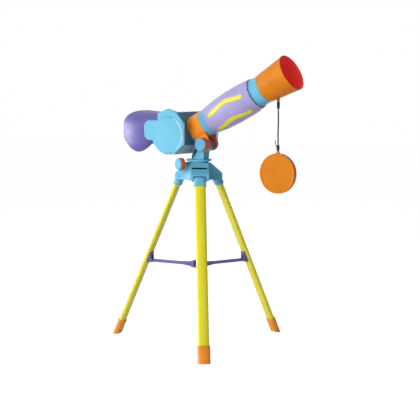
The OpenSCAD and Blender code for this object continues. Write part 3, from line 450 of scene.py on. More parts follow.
class Workshop:
    """Makes pieces, rides them on their bodies and gives them their finishes. Angles are in degrees."""

    merge_reach = 0.003 * MM
    cut_reach = 0.001 * MM
    flat_angle = 0.3
    sharp_angle = 30.0
    bow_angle = 45.0
    bow_steps = 10
    edge_steps = 3
    fine_steps = 2
    face_weight = 60

    def __init__(self, palette: Palette) -> None:
        """Keep the finishes and find which body carries each node.

        Args:
            palette: The finishes.
        """
        self.palette = palette
        bodies = frame["record"]["behaviour"]["bodies"]
        self.body_of = {node: body for body, nodes in bodies.items() for node in nodes}

    def place(self, name: str, bm: Mesh, body: str, finish: Finish, smooth: bool = True) -> Piece:
        """Turn a bmesh into a piece that rides on a body.

        Args:
            name: The piece's name.
            bm: The mesh, in metres, in the shared frame. It is freed here.
            body: The body that carries the piece.
            finish: The piece's finish.
            smooth: Whether its faces are shaded smooth.

        Returns:
            The new object.
        """
        mesh = bpy.data.meshes.new(name)
        for face in bm.faces:
            face.smooth = smooth
        bm.to_mesh(mesh)
        bm.free()
        mesh.materials.append(self.palette[finish])
        piece = new_object(name, mesh)
        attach(piece, body)
        LOG.info("%s rides on %s: %d faces", name, body, len(mesh.polygons))
        return piece

    def mould(self, node: str, bm: Mesh, finish: Finish) -> Piece:
        """Turn a bmesh into the moulding that takes a solid's place, with its flat faces shaded flat.

        Args:
            node: The solid's name.
            bm: The mesh. It is freed here.
            finish: The piece's finish.

        Returns:
            The new piece.
        """
        piece = self.place(f"{node}_moulding", bm, self.body_of[node], finish)
        normals = piece.modifiers.new("flat_faces", "WEIGHTED_NORMAL")
        normals.keep_sharp = True
        normals.weight = self.face_weight
        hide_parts(node)
        return piece

    def copy_of(self, node: str) -> Mesh:
        """A merged copy of a solid's mesh with its flat faces joined.

        Args:
            node: The solid's name.

        Returns:
            The copy as a bmesh.
        """
        bm = bmesh.new()
        bm.from_mesh(frame["nodes"][node].data)
        bmesh.ops.remove_doubles(bm, verts=bm.verts, dist=self.merge_reach)
        flat = math.radians(self.flat_angle)
        bmesh.ops.dissolve_limit(bm, angle_limit=flat, verts=bm.verts, edges=bm.edges)
        return bm

    @staticmethod
    def sharp_edges(bm: Mesh, sharp: float, fillets: bool = True) -> Edges:
        """The edges that bend by more than an angle.

        Args:
            bm: The mesh.
            sharp: The angle in degrees.
            fillets: Whether inner corners count too.

        Returns:
            The edges.
        """
        limit = math.radians(sharp)
        return [edge for edge in bm.edges if len(edge.link_faces) == 2
                and edge.calc_face_angle(0.0) > limit and (fillets or edge.is_convex)]

    @staticmethod
    def bevel(bm: Mesh, edges: Edges, width: float, segments: int) -> None:
        """Round some edges of a mesh, by a width in millimetres and a number of steps."""
        bmesh.ops.bevel(bm, geom=edges, offset=width * MM, offset_type="OFFSET", segments=segments,
                        profile=0.5, affect="EDGES", clamp_overlap=False, material=-1)

    def rounded(self, node: str, finish: Finish, edge: float, fillets: bool = True) -> Piece:
        """Replace a solid by the same form with the rounded edges of a moulding.

        Args:
            node: The solid's name.
            finish: The piece's finish.
            edge: Width of the rounded edge in millimetres.
            fillets: Whether inner corners are filled too. A corner that another piece swings in can't be.

        Returns:
            The new piece.
        """
        bm = self.copy_of(node)
        self.bevel(bm, self.sharp_edges(bm, self.sharp_angle, fillets), edge, self.edge_steps)
        return self.mould(node, bm, finish)

    def bowed(self, node: str, finish: Finish, section: "LegSection", edge: float) -> Piece:
        """Replace a leg's solid by the same form with a gently bowed outer face.

        Args:
            node: The solid's name.
            finish: The piece's finish.
            section: The leg's line and outer section.
            edge: Width of the rounded edges in millimetres.

        Returns:
            The new piece.
        """
        bm = self.copy_of(node)
        for step in range(1, self.bow_steps):
            across = section.width * (step / self.bow_steps - 0.5)
            bmesh.ops.bisect_plane(bm, geom=bm.verts[:] + bm.edges[:] + bm.faces[:], dist=self.cut_reach,
                                   plane_co=section.start + section.side * across, plane_no=section.side)
        for vert in bm.verts:
            vert.co += section.bow(vert.co)
        self.bevel(bm, self.sharp_edges(bm, self.bow_angle), edge, self.fine_steps)
        return self.mould(node, bm, finish)

    @staticmethod
    def tint(piece: Piece, material: Material, picks: Callable[[Face], bool]) -> None:
        """Give some faces of a piece a material of their own.

        Args:
            piece: The piece.
            material: The faces' material.
            picks: Says whether a face takes it.
        """
        piece.data.materials.append(material)
        for face in piece.data.polygons:
            if picks(face):
                face.material_index = len(piece.data.materials) - 1

    def dress(self, node: str, finish: Finish) -> None:
        """Give a solid that stays in view its finish.

        Args:
            node: The solid's name.
            finish: Its finish.
        """
        materials = frame["nodes"][node].data.materials
        materials.clear()
        materials.append(self.palette[finish])


def reach_from(face: Face, axis: tuple[float, float]) -> float:
    """How far a face's middle is from an axis across the telescope, whose x and z are in millimetres."""
    return math.hypot(face.center.x / MM - axis[0], face.center.z / MM - axis[1])


@dataclass(frozen=True)
class LegSection:
    """The line of a leg and the stadium that its outer face follows."""

    start: Vector
    side: Vector
    out: Vector
    width: float
    depth: float
    swell: float = 1.25
    face_slack: float = 0.15 * MM

    @classmethod
    def of_leg(cls, leg: str, width: float, depth: float) -> "LegSection":
        """Find a leg's line from its tube.

        Args:
            leg: The leg's name.
            width: Width of the section in metres.
            depth: Depth of the section in metres.

        Returns:
            The section.
        """
        corners = [Vector(vert.co) for vert in frame["nodes"][f"leg_tube_{leg}"].data.vertices]
        middle = sum(corner.z for corner in corners) / len(corners)
        upper = [corner for corner in corners if corner.z > middle]
        lower = [corner for corner in corners if corner.z <= middle]
        top = sum(upper, Vector()) / len(upper)
        foot = sum(lower, Vector()) / len(lower)
        along = (foot - top).normalized()
        level = Vector((along.x, along.y, 0)).normalized()
        side = Vector((-level.y, level.x, 0))
        return cls(top, side, along.cross(side).normalized(), width, depth)

    def bow(self, point: Vector) -> Vector:
        """How far a point on the outer face moves to give the face its bow.

        Args:
            point: A point of the leg.

        Returns:
            The move, which is nought away from the outer face.
        """
        arm = point - self.start
        across, out = arm.dot(self.side), arm.dot(self.out)
        corner = max(abs(across) - (self.width - self.depth) / 2, 0.0)
        on_face = abs(math.hypot(corner, out) - self.depth / 2) < self.face_slack
        if out <= 0 or not on_face:
            return Vector()
        share = min(1.0, abs(across) / (self.width / 2))
        rise = self.depth / 2 * self.swell * math.sqrt(max(0.0, 1 - share * share))
        return self.out * (rise - out)


@dataclass
class Tripod:
    """The head, its three hinged legs with sockets and feet, and the spreader between them.

    Widths of rounded edges are in millimetres, and the other sizes in metres.
    """

    shop: Workshop
    head_edge: float = 0.7
    plate_edge: float = 0.3
    socket_edge: float = 0.8
    tube_edge: float = 0.3
    foot_edge: float = 0.6
    clip_edge: float = 0.4
    arm_edge: float = 0.5
    hub_edge: float = 0.35
    stud_edge: float = 0.25
    leg_w: float = 18.6 * MM
    leg_d: float = 7.6 * MM
    foot_wall: float = 1.5 * MM
    slot_w: float = 26 * MM
    slot_h: float = 4.4 * MM
    slot_slack: float = 0.1 * MM
    slot_walls: tuple[float, float] = (-6 * MM, -0.5 * MM)
    slot_share: float = 0.52
    roof_r: float = 14.8 * MM
    roof_drop: float = 2 * MM
    brow_r: float = 35.5 * MM
    brow_z: float = 301 * MM
    # the dark sheet sunk under each slot is painted shade
    shade_sheet_deep: float = 2.75 * MM
    shade_sheet_thick: float = 0.3 * MM
    shade_sheet_margin: tuple[float, float] = (3 * MM, 1.5 * MM)
    legs: tuple[str, ...] = ("front", "left", "rear")

    def build(self) -> None:
        """Make the head, the legs and the spreader."""
        self.build_head()
        self.shop.dress("base_plate_screws", Finish.STEEL)
        self.shop.rounded("leg_hinge_pins", Finish.SKY, self.plate_edge)
        self.shop.rounded("head_base_plate", Finish.DARK, self.plate_edge)
        for leg in self.legs:
            self.shop.rounded(f"leg_socket_{leg}", Finish.SKY, self.socket_edge, fillets=False)
            tube = LegSection.of_leg(leg, self.leg_w, self.leg_d)
            self.shop.bowed(f"leg_tube_{leg}", Finish.YELLOW, tube, self.tube_edge)
            boot = LegSection.of_leg(leg, self.leg_w + 2 * self.foot_wall, self.leg_d + 2 * self.foot_wall)
            foot = self.shop.bowed(f"foot_{leg}", Finish.ORANGE, boot, self.foot_edge)
            foot.data.materials[0] = self.shop.palette.foot_orange
            self.shop.rounded(f"arm_clip_{leg}", Finish.PURPLE, self.clip_edge)
            self.shop.rounded(f"spreader_arm_{leg}", Finish.PURPLE, self.arm_edge)
        self.shop.rounded("spreader_hub", Finish.PURPLE, self.hub_edge)
        self.shop.rounded("spreader_studs", Finish.PURPLE, self.stud_edge)

    def build_head(self) -> None:
        """Make the head with slots in its three wings, their walls painted dark as painted shade, each with a
        dark sheet of painted shade sunk under it.
        """
        head = self.shop.rounded("tripod_head", Finish.SKY, self.head_edge, fillets=False)
        slots = [self.slot_at(leg) for leg in self.legs]
        turns = [slot.inverted() for slot in slots]
        deepest, highest = self.slot_walls

        def in_slot(face: Face) -> bool:
            """Whether a face is on the walls of a slot."""
            spots = [turn @ Vector(face.center) for turn in turns]
            return any(max(abs(spot.x) - self.slot_h / 2, abs(spot.y) - self.slot_w / 2) < self.slot_slack
                       and deepest < spot.z < highest for spot in spots)

        # painted shade: the slot walls are painted dark
        self.shop.tint(head, self.shop.palette[Finish.DARK], in_slot)
        sides = (self.slot_h + self.shade_sheet_margin[0], self.slot_w + self.shade_sheet_margin[1], self.shade_sheet_thick, 1)
        sunk = Matrix.Translation((0, 0, -self.shade_sheet_deep)) @ Matrix.Diagonal(sides)
        for leg, slot in zip(self.legs, slots):
            bm = bmesh.new()
            # a dark sheet under each slot: painted shade
            bmesh.ops.create_cube(bm, size=1.0, matrix=slot @ sunk)
            self.shop.place(f"slot_shade_sheet_{leg}", bm, "stand", Finish.DARK, smooth=False)

    def slot_at(self, leg: str) -> Matrix:
        """The place of the slot above a leg: its x runs down the wing's slope, y along the slot and z out.

        Args:
            leg: The leg's name.

        Returns:
            The turn and move from the slot's own axes to the shared frame.
        """
        roof = Vector((self.roof_r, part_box("tripod_head")[1].z - self.roof_drop))
        brow = Vector((self.brow_r, self.brow_z))
        slope = (brow - roof).normalized()
        middle = roof * (1 - self.slot_share) + brow * self.slot_share
        side = LegSection.of_leg(leg, self.leg_w, self.leg_d).side
        level = Vector((side.y, -side.x, 0))
        seat = level * middle.x + Vector((0, 0, middle.y))
        down = level * slope.x + Vector((0, 0, slope.y))
        up = side.cross(down)
        up *= math.copysign(1.0, up.z)
        return Matrix.Translation(seat) @ Matrix((down, side, up)).transposed().to_4x4()


@dataclass
class PanHead:
    """The yoke on the head, its lock knob and the tilt knob."""

    shop: Workshop
    yoke_edge: float = 0.8
    gusset_half: float = 5.2
    flange_top: float = 324.5
    barrel_reach: float = 10.5
    knob_edge: float = 0.45
    cap_edge: float = 0.8

    def on_shaded_gusset(self, face: Face) -> bool:
        """Whether a face of the yoke is on the thin gusset behind its tongue, which takes painted shade."""
        behind = abs(face.center.y) < self.gusset_half * MM and face.normal.x < 0.5
        return behind and face.center.z > self.flange_top * MM

    def on_shaded_barrel(self, face: Face) -> bool:
        """Whether a face of the yoke is on the front of the barrel between the band's ears, which takes painted
        shade.
        """
        return face.normal.x > 0.2 and reach_from(face, TILT_BOLT) < self.barrel_reach

    def build(self) -> None:
        """Make the yoke and the two knobs."""
        yoke = self.shop.rounded("pan_yoke", Finish.SKY, self.yoke_edge)
        # painted shade on the gusset behind the tongue
        self.shop.tint(yoke, self.shop.palette.gusset_painted_shade, self.on_shaded_gusset)
        # painted shade on the barrel between the ears
        self.shop.tint(yoke, self.shop.palette.barrel_painted_shade, self.on_shaded_barrel)
        for knob in ("pan_knob", "tilt_knob"):
            skirt = self.shop.rounded(knob, Finish.ORANGE, self.knob_edge)
            # the knob skirts take the redder painted shade
            skirt.data.materials[0] = self.shop.palette.knob_painted_shade
            cap = self.shop.rounded(f"{knob}_cap", Finish.SKY, self.cap_edge)
            cap.data.materials[0] = self.shop.palette.cap_sky
        for node in ("pan_washer", "pan_screw", "pan_lock_screw", "tilt_bolt", "tilt_nut"):
            self.shop.dress(node, Finish.STEEL)


@dataclass
class TubeAssembly:
    """The tube with its band, sleeve, wave grips, collar, hood and front lens."""

    shop: Workshop
    band_edge: float = 0.8
    tube_edge: float = 0.4
    sleeve_edge: float = 0.5
    grip_edge: float = 0.35
    collar_edge: float = 0.6
    hood_edge: float = 0.5
    ring_edge: float = 0.3
    ear_reach: float = 17.0
    rest_angle: float = 27.2
    axis_offset: float = 34.0

    def build(self) -> None:
        """Make the tube's pieces from the band to the hood."""
        band = self.shop.rounded("tube_bracket", Finish.ORANGE, self.band_edge)
        # the band takes the brighter, glowing orange: painted light
        band.data.materials[0] = self.shop.palette.band_painted_light
        # the ears take the red painted shade
        self.shop.tint(band, self.shop.palette.ear_painted_shade, self.on_shaded_ear)
        self.shop.rounded("barrel_tube", Finish.SKY, self.tube_edge)
        self.shop.rounded("grip_sleeve", Finish.LAVENDER, self.sleeve_edge)
        self.shop.rounded("wave_grips", Finish.GRIP, self.grip_edge)
        self.shop.rounded("front_collar", Finish.SKY, self.collar_edge)
        hood = self.shop.rounded("hood", Finish.ORANGE, self.hood_edge)
        # the hood's inner wall takes the glowing red painted shade
        self.shop.tint(hood, self.shop.palette.hood_inside_painted_shade_glow, self.on_hood_inside)
        self.shop.dress("objective_lens", Finish.LENS)
        self.shop.rounded("lens_ring", Finish.DARK, self.ring_edge)

    def on_shaded_ear(self, face: Face) -> bool:
        """Whether a face of the band is on one of its ears, but not on an ear's outer side: these faces take
        painted shade, a redder orange.
        """
        outer = face.normal.y * math.copysign(1, face.center.y) >= 0.5
        return not outer and reach_from(face, TILT_BOLT) < self.ear_reach

    def on_hood_inside(self, face: Face) -> bool:
        """Whether a face of the hood looks at the tube's axis: these inner faces take painted shade, a red for
        the shaded orange, with a painted glow.

        Args:
            face: The face.

        Returns:
            True on the inner wall.
        """
        angle = math.radians(self.rest_angle)
        along = Vector((math.cos(angle), 0, math.sin(angle)))
        across = Vector((-along.z, 0, along.x))
        start = Vector((TILT_BOLT[0], 0, TILT_BOLT[1])) + across * self.axis_offset
        out = Vector(face.center) - start * MM
        out -= along * out.dot(along)
        return face.normal.dot(out) < -0.3 * out.length


@dataclass(frozen=True)
class GoggleForm:
    """The goggle's flowing form, in millimetres.

    A station, from the housing to the rim, is a distance back, a half width, a half height and a rise.
    """

    neck: Station = (0.0, 46.0, 21.8, 12.8)
    shoulder: Station = (21.667, 40.49, 17.8, 19.1)
    flare: Station = (43.333, 64.0, 51.6, -16.1)
    rim: Station = (68.0, 47.0, 31.0, 7.8)
    wall: float = 3.0
    wrap: float = 12.0
    wrap_power: float = 4.0
    inset_fade: float = 30.0
    nose_notch: float = 9.0
    notch_power: float = 8.0
    nose_rise: float = 18.5
    nose_power: float = 12.0
    brow_square: float = 0.61
    cheek_square: float = 0.49
    back: float = 24.1
    segments: int = 96
    rings: int = 26
    lip_steps: int = 6

    def station(self, share: float) -> Vector:
        """The station at a share of the way from the housing to the rim.

        Args:
            share: The share, 0 to 1.

        Returns:
            The station.
        """
        rest = 1 - share
        parts = ((rest ** 3, self.neck), (3 * share * rest ** 2, self.shoulder),
                 (3 * share ** 2 * rest, self.flare), (share ** 3, self.rim))
        return sum((Vector(at) * weight for weight, at in parts), Vector((0, 0, 0, 0)))

    def ring(self, share: float, inset: float, behind: float = 0.0) -> list[Vector]:
        """One ring of points.

        Args:
            share: How far along the goggle the ring is, 0 to 1.
            inset: How far inside the outer face it is, in millimetres.
            behind: How far it is moved back, in millimetres.

        Returns:
            The ring's points from the housing's middle, in millimetres.
        """
        at = self.station(share)
        points = []
        for step in range(self.segments):
            angle = 2 * math.pi * step / self.segments
            square = self.brow_square if math.sin(angle) > 0 else self.cheek_square
            across = math.copysign(abs(math.cos(angle)) ** square, math.cos(angle))
            up = math.copysign(abs(math.sin(angle)) ** square, math.sin(angle))
            low = max(0.0, -math.sin(angle))
            wrap = self.wrap * abs(across) ** self.wrap_power - self.nose_notch * low ** self.notch_power
            bend = share ** 2 * wrap * (1 - inset / self.inset_fade)
            nose = self.nose_rise * (1 - (1 - share) ** 3) * low ** self.nose_power
            points.append(Vector((-self.back - at[0] - bend - behind, (at[1] - inset) * across,
                                  at[3] + (at[2] - inset) * up + nose)))
        return points

    def shell(self, housing_at: Point) -> Mesh:
        """The closed shell: outer face, rounded lip, inner face and the seat on the housing.

        Args:
            housing_at: The housing's middle, in millimetres.

        Returns:
            The shell's mesh in the shared frame.
        """
        loops = [self.ring(step / self.rings, 0) for step in range(self.rings + 1)]
        for step in range(1, self.lip_steps):
            turn = math.pi * step / self.lip_steps
            loops.append(self.ring(1, self.wall / 2 * (1 - math.cos(turn)), self.wall / 2 * math.sin(turn)))
        loops += [self.ring(step / self.rings, self.wall) for step in range(self.rings, -1, -1)]
        bm = bmesh.new()
        rows = [[bm.verts.new((Vector(housing_at) + point) * MM) for point in loop] for loop in loops]
        for row, below in zip(rows, rows[1:] + rows[:1]):
            for here in range(self.segments):
                after = (here + 1) % self.segments
                bm.faces.new((row[here], row[after], below[after], below[here]))
        bmesh.ops.recalc_face_normals(bm, faces=bm.faces)
        return bm


@dataclass
class EyepieceHousing:
    """The housing, its covers, the goggle and what is inside."""

    shop: Workshop
    boss_at: tuple[float, float] = (-28.0, 366.9)
    boss_r: float = 31.0
    boss_edge: float = 2.2
    boss_steps: int = 5
    front_slack: float = 0.01 * MM
    fine_angle: float = 40.0
    painted_reflection_lean: float = -0.25
    # how far down a drum face must turn to take the painted reflection of the floor
    crest_z: float = 407.0
    crest_lean: Point = (4.6, 0.0, -1.5)
    cover_edge: float = 0.5
    drum_edge: float = 1.0
    eyepiece_edge: float = 0.4
    housing_at: Point = (-24.0, 0.0, 368.5)

    def build(self) -> None:
        """Make the housing's pieces."""
        drum = self.shop.rounded("housing_drum", Finish.SKY, self.drum_edge)
        # the drum takes the darker copy of the sky plastic: painted shade
        drum.data.materials[0] = self.shop.palette.drum_painted_shade
        # faces turned downward take the pale painted reflection of the floor
        self.shop.tint(drum, self.shop.palette.drum_underside_painted_reflection, lambda face: face.normal.z < self.painted_reflection_lean)
        for side in ("right", "left"):
            self.build_cover(f"side_cover_{side}")
            self.shop.rounded(f"eyepiece_{side}", Finish.DARK, self.eyepiece_edge)
            self.shop.dress(f"eye_lens_{side}", Finish.LENS)
        self.shop.dress("cover_screws", Finish.STEEL)
        self.shop.dress("optics_tray", Finish.DARK)
        self.shop.dress("beam_splitter", Finish.LENS)
        self.shop.dress("side_mirrors", Finish.MIRROR)
        self.build_goggle()

    def build_cover(self, node: str) -> None:
        """Make a side cover, whose boss and tab have a wide rounded edge and whose plate a fine one, with a
        painted highlight along the boss's edge.

        Args:
            node: The cover's solid.
        """
        bm = self.shop.copy_of(node)
        for vert in bm.verts:
            if vert.co.z > self.crest_z * MM:
                vert.co += Vector(self.crest_lean) * MM
        face_y = max((vert.co.y for vert in bm.verts), key=abs)
        front = [edge for edge in self.shop.sharp_edges(bm, self.shop.sharp_angle)
                 if all(abs(vert.co.y - face_y) < self.front_slack for vert in edge.verts)]
        self.shop.bevel(bm, front, self.boss_edge, self.boss_steps)
        fine = self.shop.sharp_edges(bm, self.fine_angle, fillets=False)
        self.shop.bevel(bm, fine, self.cover_edge, self.shop.fine_steps)
        cover = self.shop.mould(node, bm, Finish.SKY)
        # painted highlight along the boss's edge
        self.shop.tint(cover, self.shop.palette.boss_painted_highlight, self.on_boss_highlight)

    def on_boss_highlight(self, face: Face) -> bool:
        """Whether a face of a cover is on the front half of the boss's rounded edge, where a painted highlight
        goes.
        """
        to_front = face.normal.x > 0.3 and abs(face.normal.y) < 0.95
        return to_front and abs(reach_from(face, self.boss_at) - self.boss_r) < self.boss_edge

    def build_goggle(self) -> None:
        """Make the goggle as one smooth flowing shell with a rounded lip."""
        bm = GoggleForm().shell(self.housing_at)
        piece = self.shop.place("goggle_shell", bm, self.shop.body_of["goggle"], Finish.PURPLE)
        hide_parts("goggle")


@dataclass
class CapPendant:
    """The lens cap on its doubled cord."""

    shop: Workshop
    eye: Point = (158.716, 0, 428.216)
    cord_d: float = 1.4 * MM
    body: str = "cap_cord"
    cap_edge: float = 0.4
    rim_lean: float = 0.5
    round_steps: int = 3
    point_steps: int = 6
    top_turns: int = 8
    low_turns: int = 6
    turn_lean: float = 9.0
    turn_steps: int = 28
    turn_swell: float = 0.56
    turn_sides: int = 10
    end_shares: tuple[float, float] = (0.72, 0.94)
    loop_route: Route = (
        (0, -2.3, -3), (0, -2.6, -1.6), (0, -1.8, -0.3), (0, 0, 0), (0, 1.8, -0.3), (0, 2.6, -1.6),
        (0, 2.3, -3))
    strand_route: Route = (
        (0, 0.9, -15.8), (0, 0.9, -20), (0.1, 1, -24), (0.2, 1, -28), (0.3, 1, -32), (0.3, 1, -36),
        (0.2, 1, -40), (0.1, 1, -44), (0, 1, -48), (-0.1, 1, -52), (-0.2, 1, -56), (-0.2, 1, -60),
        (-0.1, 1, -64), (0, 0.9, -68), (0, 0.9, -72), (0, 0.9, -75.2))
    tail_route: Route = (
        (-0.6, -0.6, -78.4), (-1.6, -0.2, -79.6), (-2.9, 0, -79), (-4, 0, -76), (-5, 0.2, -73),
        (-5.8, 0.4, -70), (-6.4, 0.6, -67.5))

    def build(self) -> None:
        """Make the cord's strands, loop and knots, and the cap."""
        self.strand("cord_loop_turn", self.loop_route, "cord_loop")
        top = self.knot("cord_top_knot", "cord_knot_top", self.top_turns)
        low = self.knot("cord_low_knot", "cord_knot_low", self.low_turns)
        right = self.strand("cord_right_strand", self.strand_route, "cord_strand_right")
        left_route = tuple((x, -y, z) for x, y, z in self.strand_route) + self.tail_route
        left = self.strand("cord_left_strand", left_route, "cord_strand_left", "cord_tail")
        self.declare()
        self.declare()
        cap = self.shop.rounded("lens_cap", Finish.ORANGE, self.cap_edge)
        # the cap's rim faces take the redder painted shade
        self.shop.tint(cap, self.shop.palette.cap_rim_painted_shade, lambda face: abs(face.normal.y) < self.rim_lean)

    def at(self, point: Point) -> Vector:
        """A route's point, given from the hood's eye in millimetres, in the shared frame in metres."""
        return Vector(self.eye) * MM + Vector(point) * MM

    def strand(self, name: str, route: Route, *nodes: str) -> Piece:
        """A round cord along a route.

        Args:
            name: The piece's name.
            route: Points from the hood's eye, in millimetres.
            *nodes: The solids that it takes the place of.

        Returns:
            The cord's curve.
        """
        curve = bpy.data.curves.new(name, "CURVE")
        curve.dimensions = "3D"
        curve.bevel_depth = self.cord_d / 2
        curve.bevel_resolution = self.round_steps
        curve.resolution_u = self.point_steps
        curve.use_fill_caps = True
        spline = curve.splines.new("BEZIER")
        spline.bezier_points.add(len(route) - 1)
        for bend, point in zip(spline.bezier_points, route):
            bend.co = self.at(point)
            bend.handle_left_type = bend.handle_right_type = "AUTO"
        curve.materials.append(self.shop.palette[Finish.CORD])
        piece = new_object(name, curve)
        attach(piece, self.body)
        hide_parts(*nodes)
        LOG.info("%s rides on %s", name, self.body)
        return piece

    def declare(self) -> None:
        """Update the view layer.
        """
        bpy.context.view_layer.update()

    def knot(self, name: str, node: str, turns: int) -> Piece:
        """A barrel knot: turns of cord wound round the strands, over the knot's solid.

        Args:
            name: The piece's name.
            node: The solid that the knot stands for.
            turns: How many turns are wound.

        Returns:
            The knot.
        """
        low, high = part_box(node)
        middle = (low + high) / 2
        reach = (high.x - low.x) / 2 - self.cord_d / 2
        step = (high.z - low.z - self.cord_d) / (turns - 1)
        upright = Matrix.Rotation(math.pi / 2, 4, "X")
        lean = Matrix.Rotation(math.radians(self.turn_lean), 4, "X")
        bm = bmesh.new()
        for turn in range(turns):
            from_end = min(turn, turns - 1 - turn)
            radius = reach * (self.end_shares[from_end] if from_end < len(self.end_shares) else 1.0)
            ring = bmesh.ops.create_circle(bm, segments=self.turn_sides, radius=self.cord_d * self.turn_swell,
                                           matrix=Matrix.Translation((radius, 0, 0)) @ upright)["verts"]
            sides = list(dict.fromkeys(edge for vert in ring for edge in vert.link_edges))
            bmesh.ops.spin(bm, geom=ring + sides, cent=(0, 0, 0), axis=(0, 0, 1), angle=2 * math.pi,
                           steps=self.turn_steps, use_merge=True)
            fresh = [vert for vert in bm.verts if not vert.tag]
            height = low.z + self.cord_d / 2 + turn * step
            lift = Matrix.Translation((middle.x, middle.y, height))
            bmesh.ops.transform(bm, matrix=lift @ lean, verts=fresh)
            for vert in bm.verts:
                vert.tag = True
        bmesh.ops.remove_doubles(bm, verts=bm.verts, dist=self.shop.cut_reach)
        bmesh.ops.recalc_face_normals(bm, faces=bm.faces)
        piece = self.shop.place(name, bm, self.shop.body_of[node], Finish.CORD)
        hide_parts(node)
        return piece


@dataclass(frozen=True)
class Lamp:
    """A soft lamp, hung from the object's middle along the picture's right, toward the camera and up.

    Distances are in metres and the power in watts. It faces the middle, or a point at a height above it.
    A sheen lamp gives the sheen alone, where the other lamps give the plain light.
    """

    name: str
    right: float
    toward: float
    up: float
    power: float
    width: float
    tall: float = 0.0
    aim: float = 0.0
    sheen: bool = False

    def hang(self, middle: Vector, azimuth: float) -> None:
        """Hang the lamp in the scene.

        Args:
            middle: The object's middle.
            azimuth: The camera's heading in degrees.
        """
        turn = math.radians(azimuth)
        right = Vector((math.cos(turn), math.sin(turn), 0))
        toward = Vector((math.sin(turn), -math.cos(turn), 0))
        target = middle + Vector((0, 0, self.aim))
        at = middle + right * self.right + toward * self.toward + Vector((0, 0, self.up))
        data = bpy.data.lights.new(self.name, "AREA")
        data.energy = self.power
        data.shape = "RECTANGLE"
        data.size = self.width
        data.size_y = self.tall or self.width
        lamp = new_object(self.name, data)
        lamp.location = at
        lamp.visible_diffuse = not self.sheen
        lamp.visible_glossy = self.sheen
        lamp.rotation_euler = (target - at).to_track_quat("-Z", "Y").to_euler()


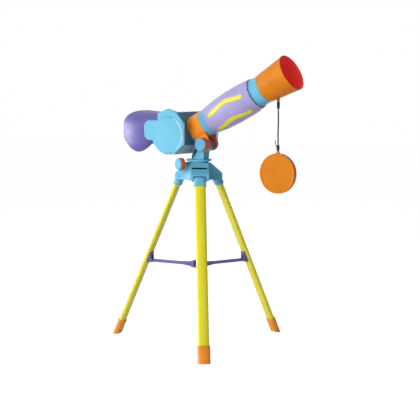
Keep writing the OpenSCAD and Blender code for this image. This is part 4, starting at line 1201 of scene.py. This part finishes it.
@dataclass
class Studio:
    """Camera at the photograph's place, pale floor, soft lights and a white world."""

    camera_at: Point = (1.16517, -1.74710, 0.454825)
    azimuth: float = 33.7
    pitch: float = 6.0
    focal_px: float = 1206.0
    image_px: float = 420.0
    centre_px: float = 198.92
    middle_px: float = 210.2
    sensor_mm: float = 36.0
    far_clip: float = 50.0
    floor_size: float = 12.0
    floor_drop: float = 0.5 * MM
    floor_grey: tuple[float, ...] = (0.7, 0.7, 0.7, 1)
    floor_clear: tuple[float, ...] = (1.2, 1.2, 1.2, 1)
    floor_share: float = 0.8
    left_light: float = 0.42
    right_light: float = 0.05
    middle_z: float = 0.25
    lamps: tuple[Lamp, ...] = (
        Lamp("key_light", -0.85, 1.25, 0.42, 17.5, 0.8),
        Lamp("left_light", -1.3, -0.5, 0.3, 9.0, 0.9),
        Lamp("back_light", -0.2, -1.3, 0.3, 8.0, 0.9),
        Lamp("fill_light", 1.3, 1.0, 0.5, 0.4, 1.2),
        Lamp("top_light", 0.0, -0.5, 1.6, 3.6, 1.2),
        Lamp("sheen_panel", -1.3, -0.15, 0.1, 24.0, 0.9, tall=0.4, aim=0.1, sheen=True))

    def build(self) -> None:
        """Set the camera, the floor, the lights and the world."""
        self.set_camera()
        self.lay_floor()
        for lamp in self.lamps:
            lamp.hang(Vector((0, 0, self.middle_z)), self.azimuth)
        self.light_world()
        bpy.context.scene.view_settings.view_transform = "Standard"

    def set_camera(self) -> None:
        """Put the camera where the photograph was taken from."""
        data = bpy.data.cameras.new("studio_camera")
        data.sensor_fit = "HORIZONTAL"
        data.sensor_width = self.sensor_mm
        data.lens = self.sensor_mm * self.focal_px / self.image_px
        data.shift_x = (self.image_px / 2 - self.centre_px) / self.image_px
        data.shift_y = (self.middle_px - self.image_px / 2) / self.image_px
        data.clip_end = self.far_clip
        camera = new_object("studio_camera", data)
        camera.location = self.camera_at
        camera.rotation_euler = (math.radians(90 - self.pitch), 0, math.radians(self.azimuth))
        bpy.context.scene.camera = camera

    def lay_floor(self) -> None:
        """Lay a pale floor that shows the white world to the camera and keeps the soft shadow.

        The camera also sees what is under it, so the folded legs' feet, which reach lower, stay in view.
        """
        bm = bmesh.new()
        bmesh.ops.create_grid(bm, x_segments=1, y_segments=1, size=self.floor_size / 2)
        mesh = bpy.data.meshes.new("studio_floor")
        bm.to_mesh(mesh)
        bm.free()
        floor = new_object("studio_floor", mesh)
        floor.location = (0, 0, -self.floor_drop)
        material = bpy.data.materials.new("floor_white")
        material.use_nodes = True
        material.node_tree.nodes.clear()
        graph = NodeTree(material.node_tree)
        pale = graph.add("ShaderNodeBsdfDiffuse", Color=self.floor_grey)
        clear = graph.add("ShaderNodeBsdfTransparent", Color=self.floor_clear)
        mix = graph.add("ShaderNodeMixShader")
        graph.feed(mix, 0, graph.combine("MULTIPLY", graph.seen_rays(), self.floor_share))
        graph.feed(mix, 1, pale.outputs[0])
        graph.feed(mix, 2, clear.outputs[0])
        graph.add("ShaderNodeOutputMaterial", Surface=mix.outputs[0])
        mesh.materials.append(material)
        floor.visible_shadow = False

    def light_world(self) -> None:
        """White to the camera, and to the object a plain soft light that is weaker from the right."""
        world = bpy.data.worlds.new("studio_world")
        bpy.context.scene.world = world
        world.use_nodes = True
        graph = NodeTree(world.node_tree)
        turn = math.radians(self.azimuth)
        lean = graph.add("ShaderNodeVectorMath")
        lean.operation = "DOT_PRODUCT"
        graph.feed(lean, 0, graph.add("ShaderNodeTexCoord").outputs["Generated"])
        graph.feed(lean, 1, (-math.cos(turn), -math.sin(turn), 0))
        soft = graph.add("ShaderNodeMapRange", Value=lean.outputs["Value"], From_Min=-1.0,
                         To_Min=self.right_light, To_Max=self.left_light)
        level = graph.add("ShaderNodeMapRange", Value=graph.seen_rays(), To_Min=soft.outputs["Result"],
                          To_Max=1.0)
        ground = graph.tree.nodes["Background"]
        graph.feed(ground, "Color", (1, 1, 1, 1))
        graph.feed(ground, "Strength", level.outputs["Result"])


def main() -> None:
    """Build the studio, then each sub-assembly in order."""
    logging.basicConfig(level=logging.INFO, format="%(message)s")
    Studio().build()
    shop = Workshop(Palette())
    CapPendant(shop).build()
    for assembly in (Tripod(shop), PanHead(shop), TubeAssembly(shop), EyepieceHousing(shop)):
        assembly.build()
        LOG.info("%s is dressed", type(assembly).__name__)


if __name__ == "__main__":
    main()
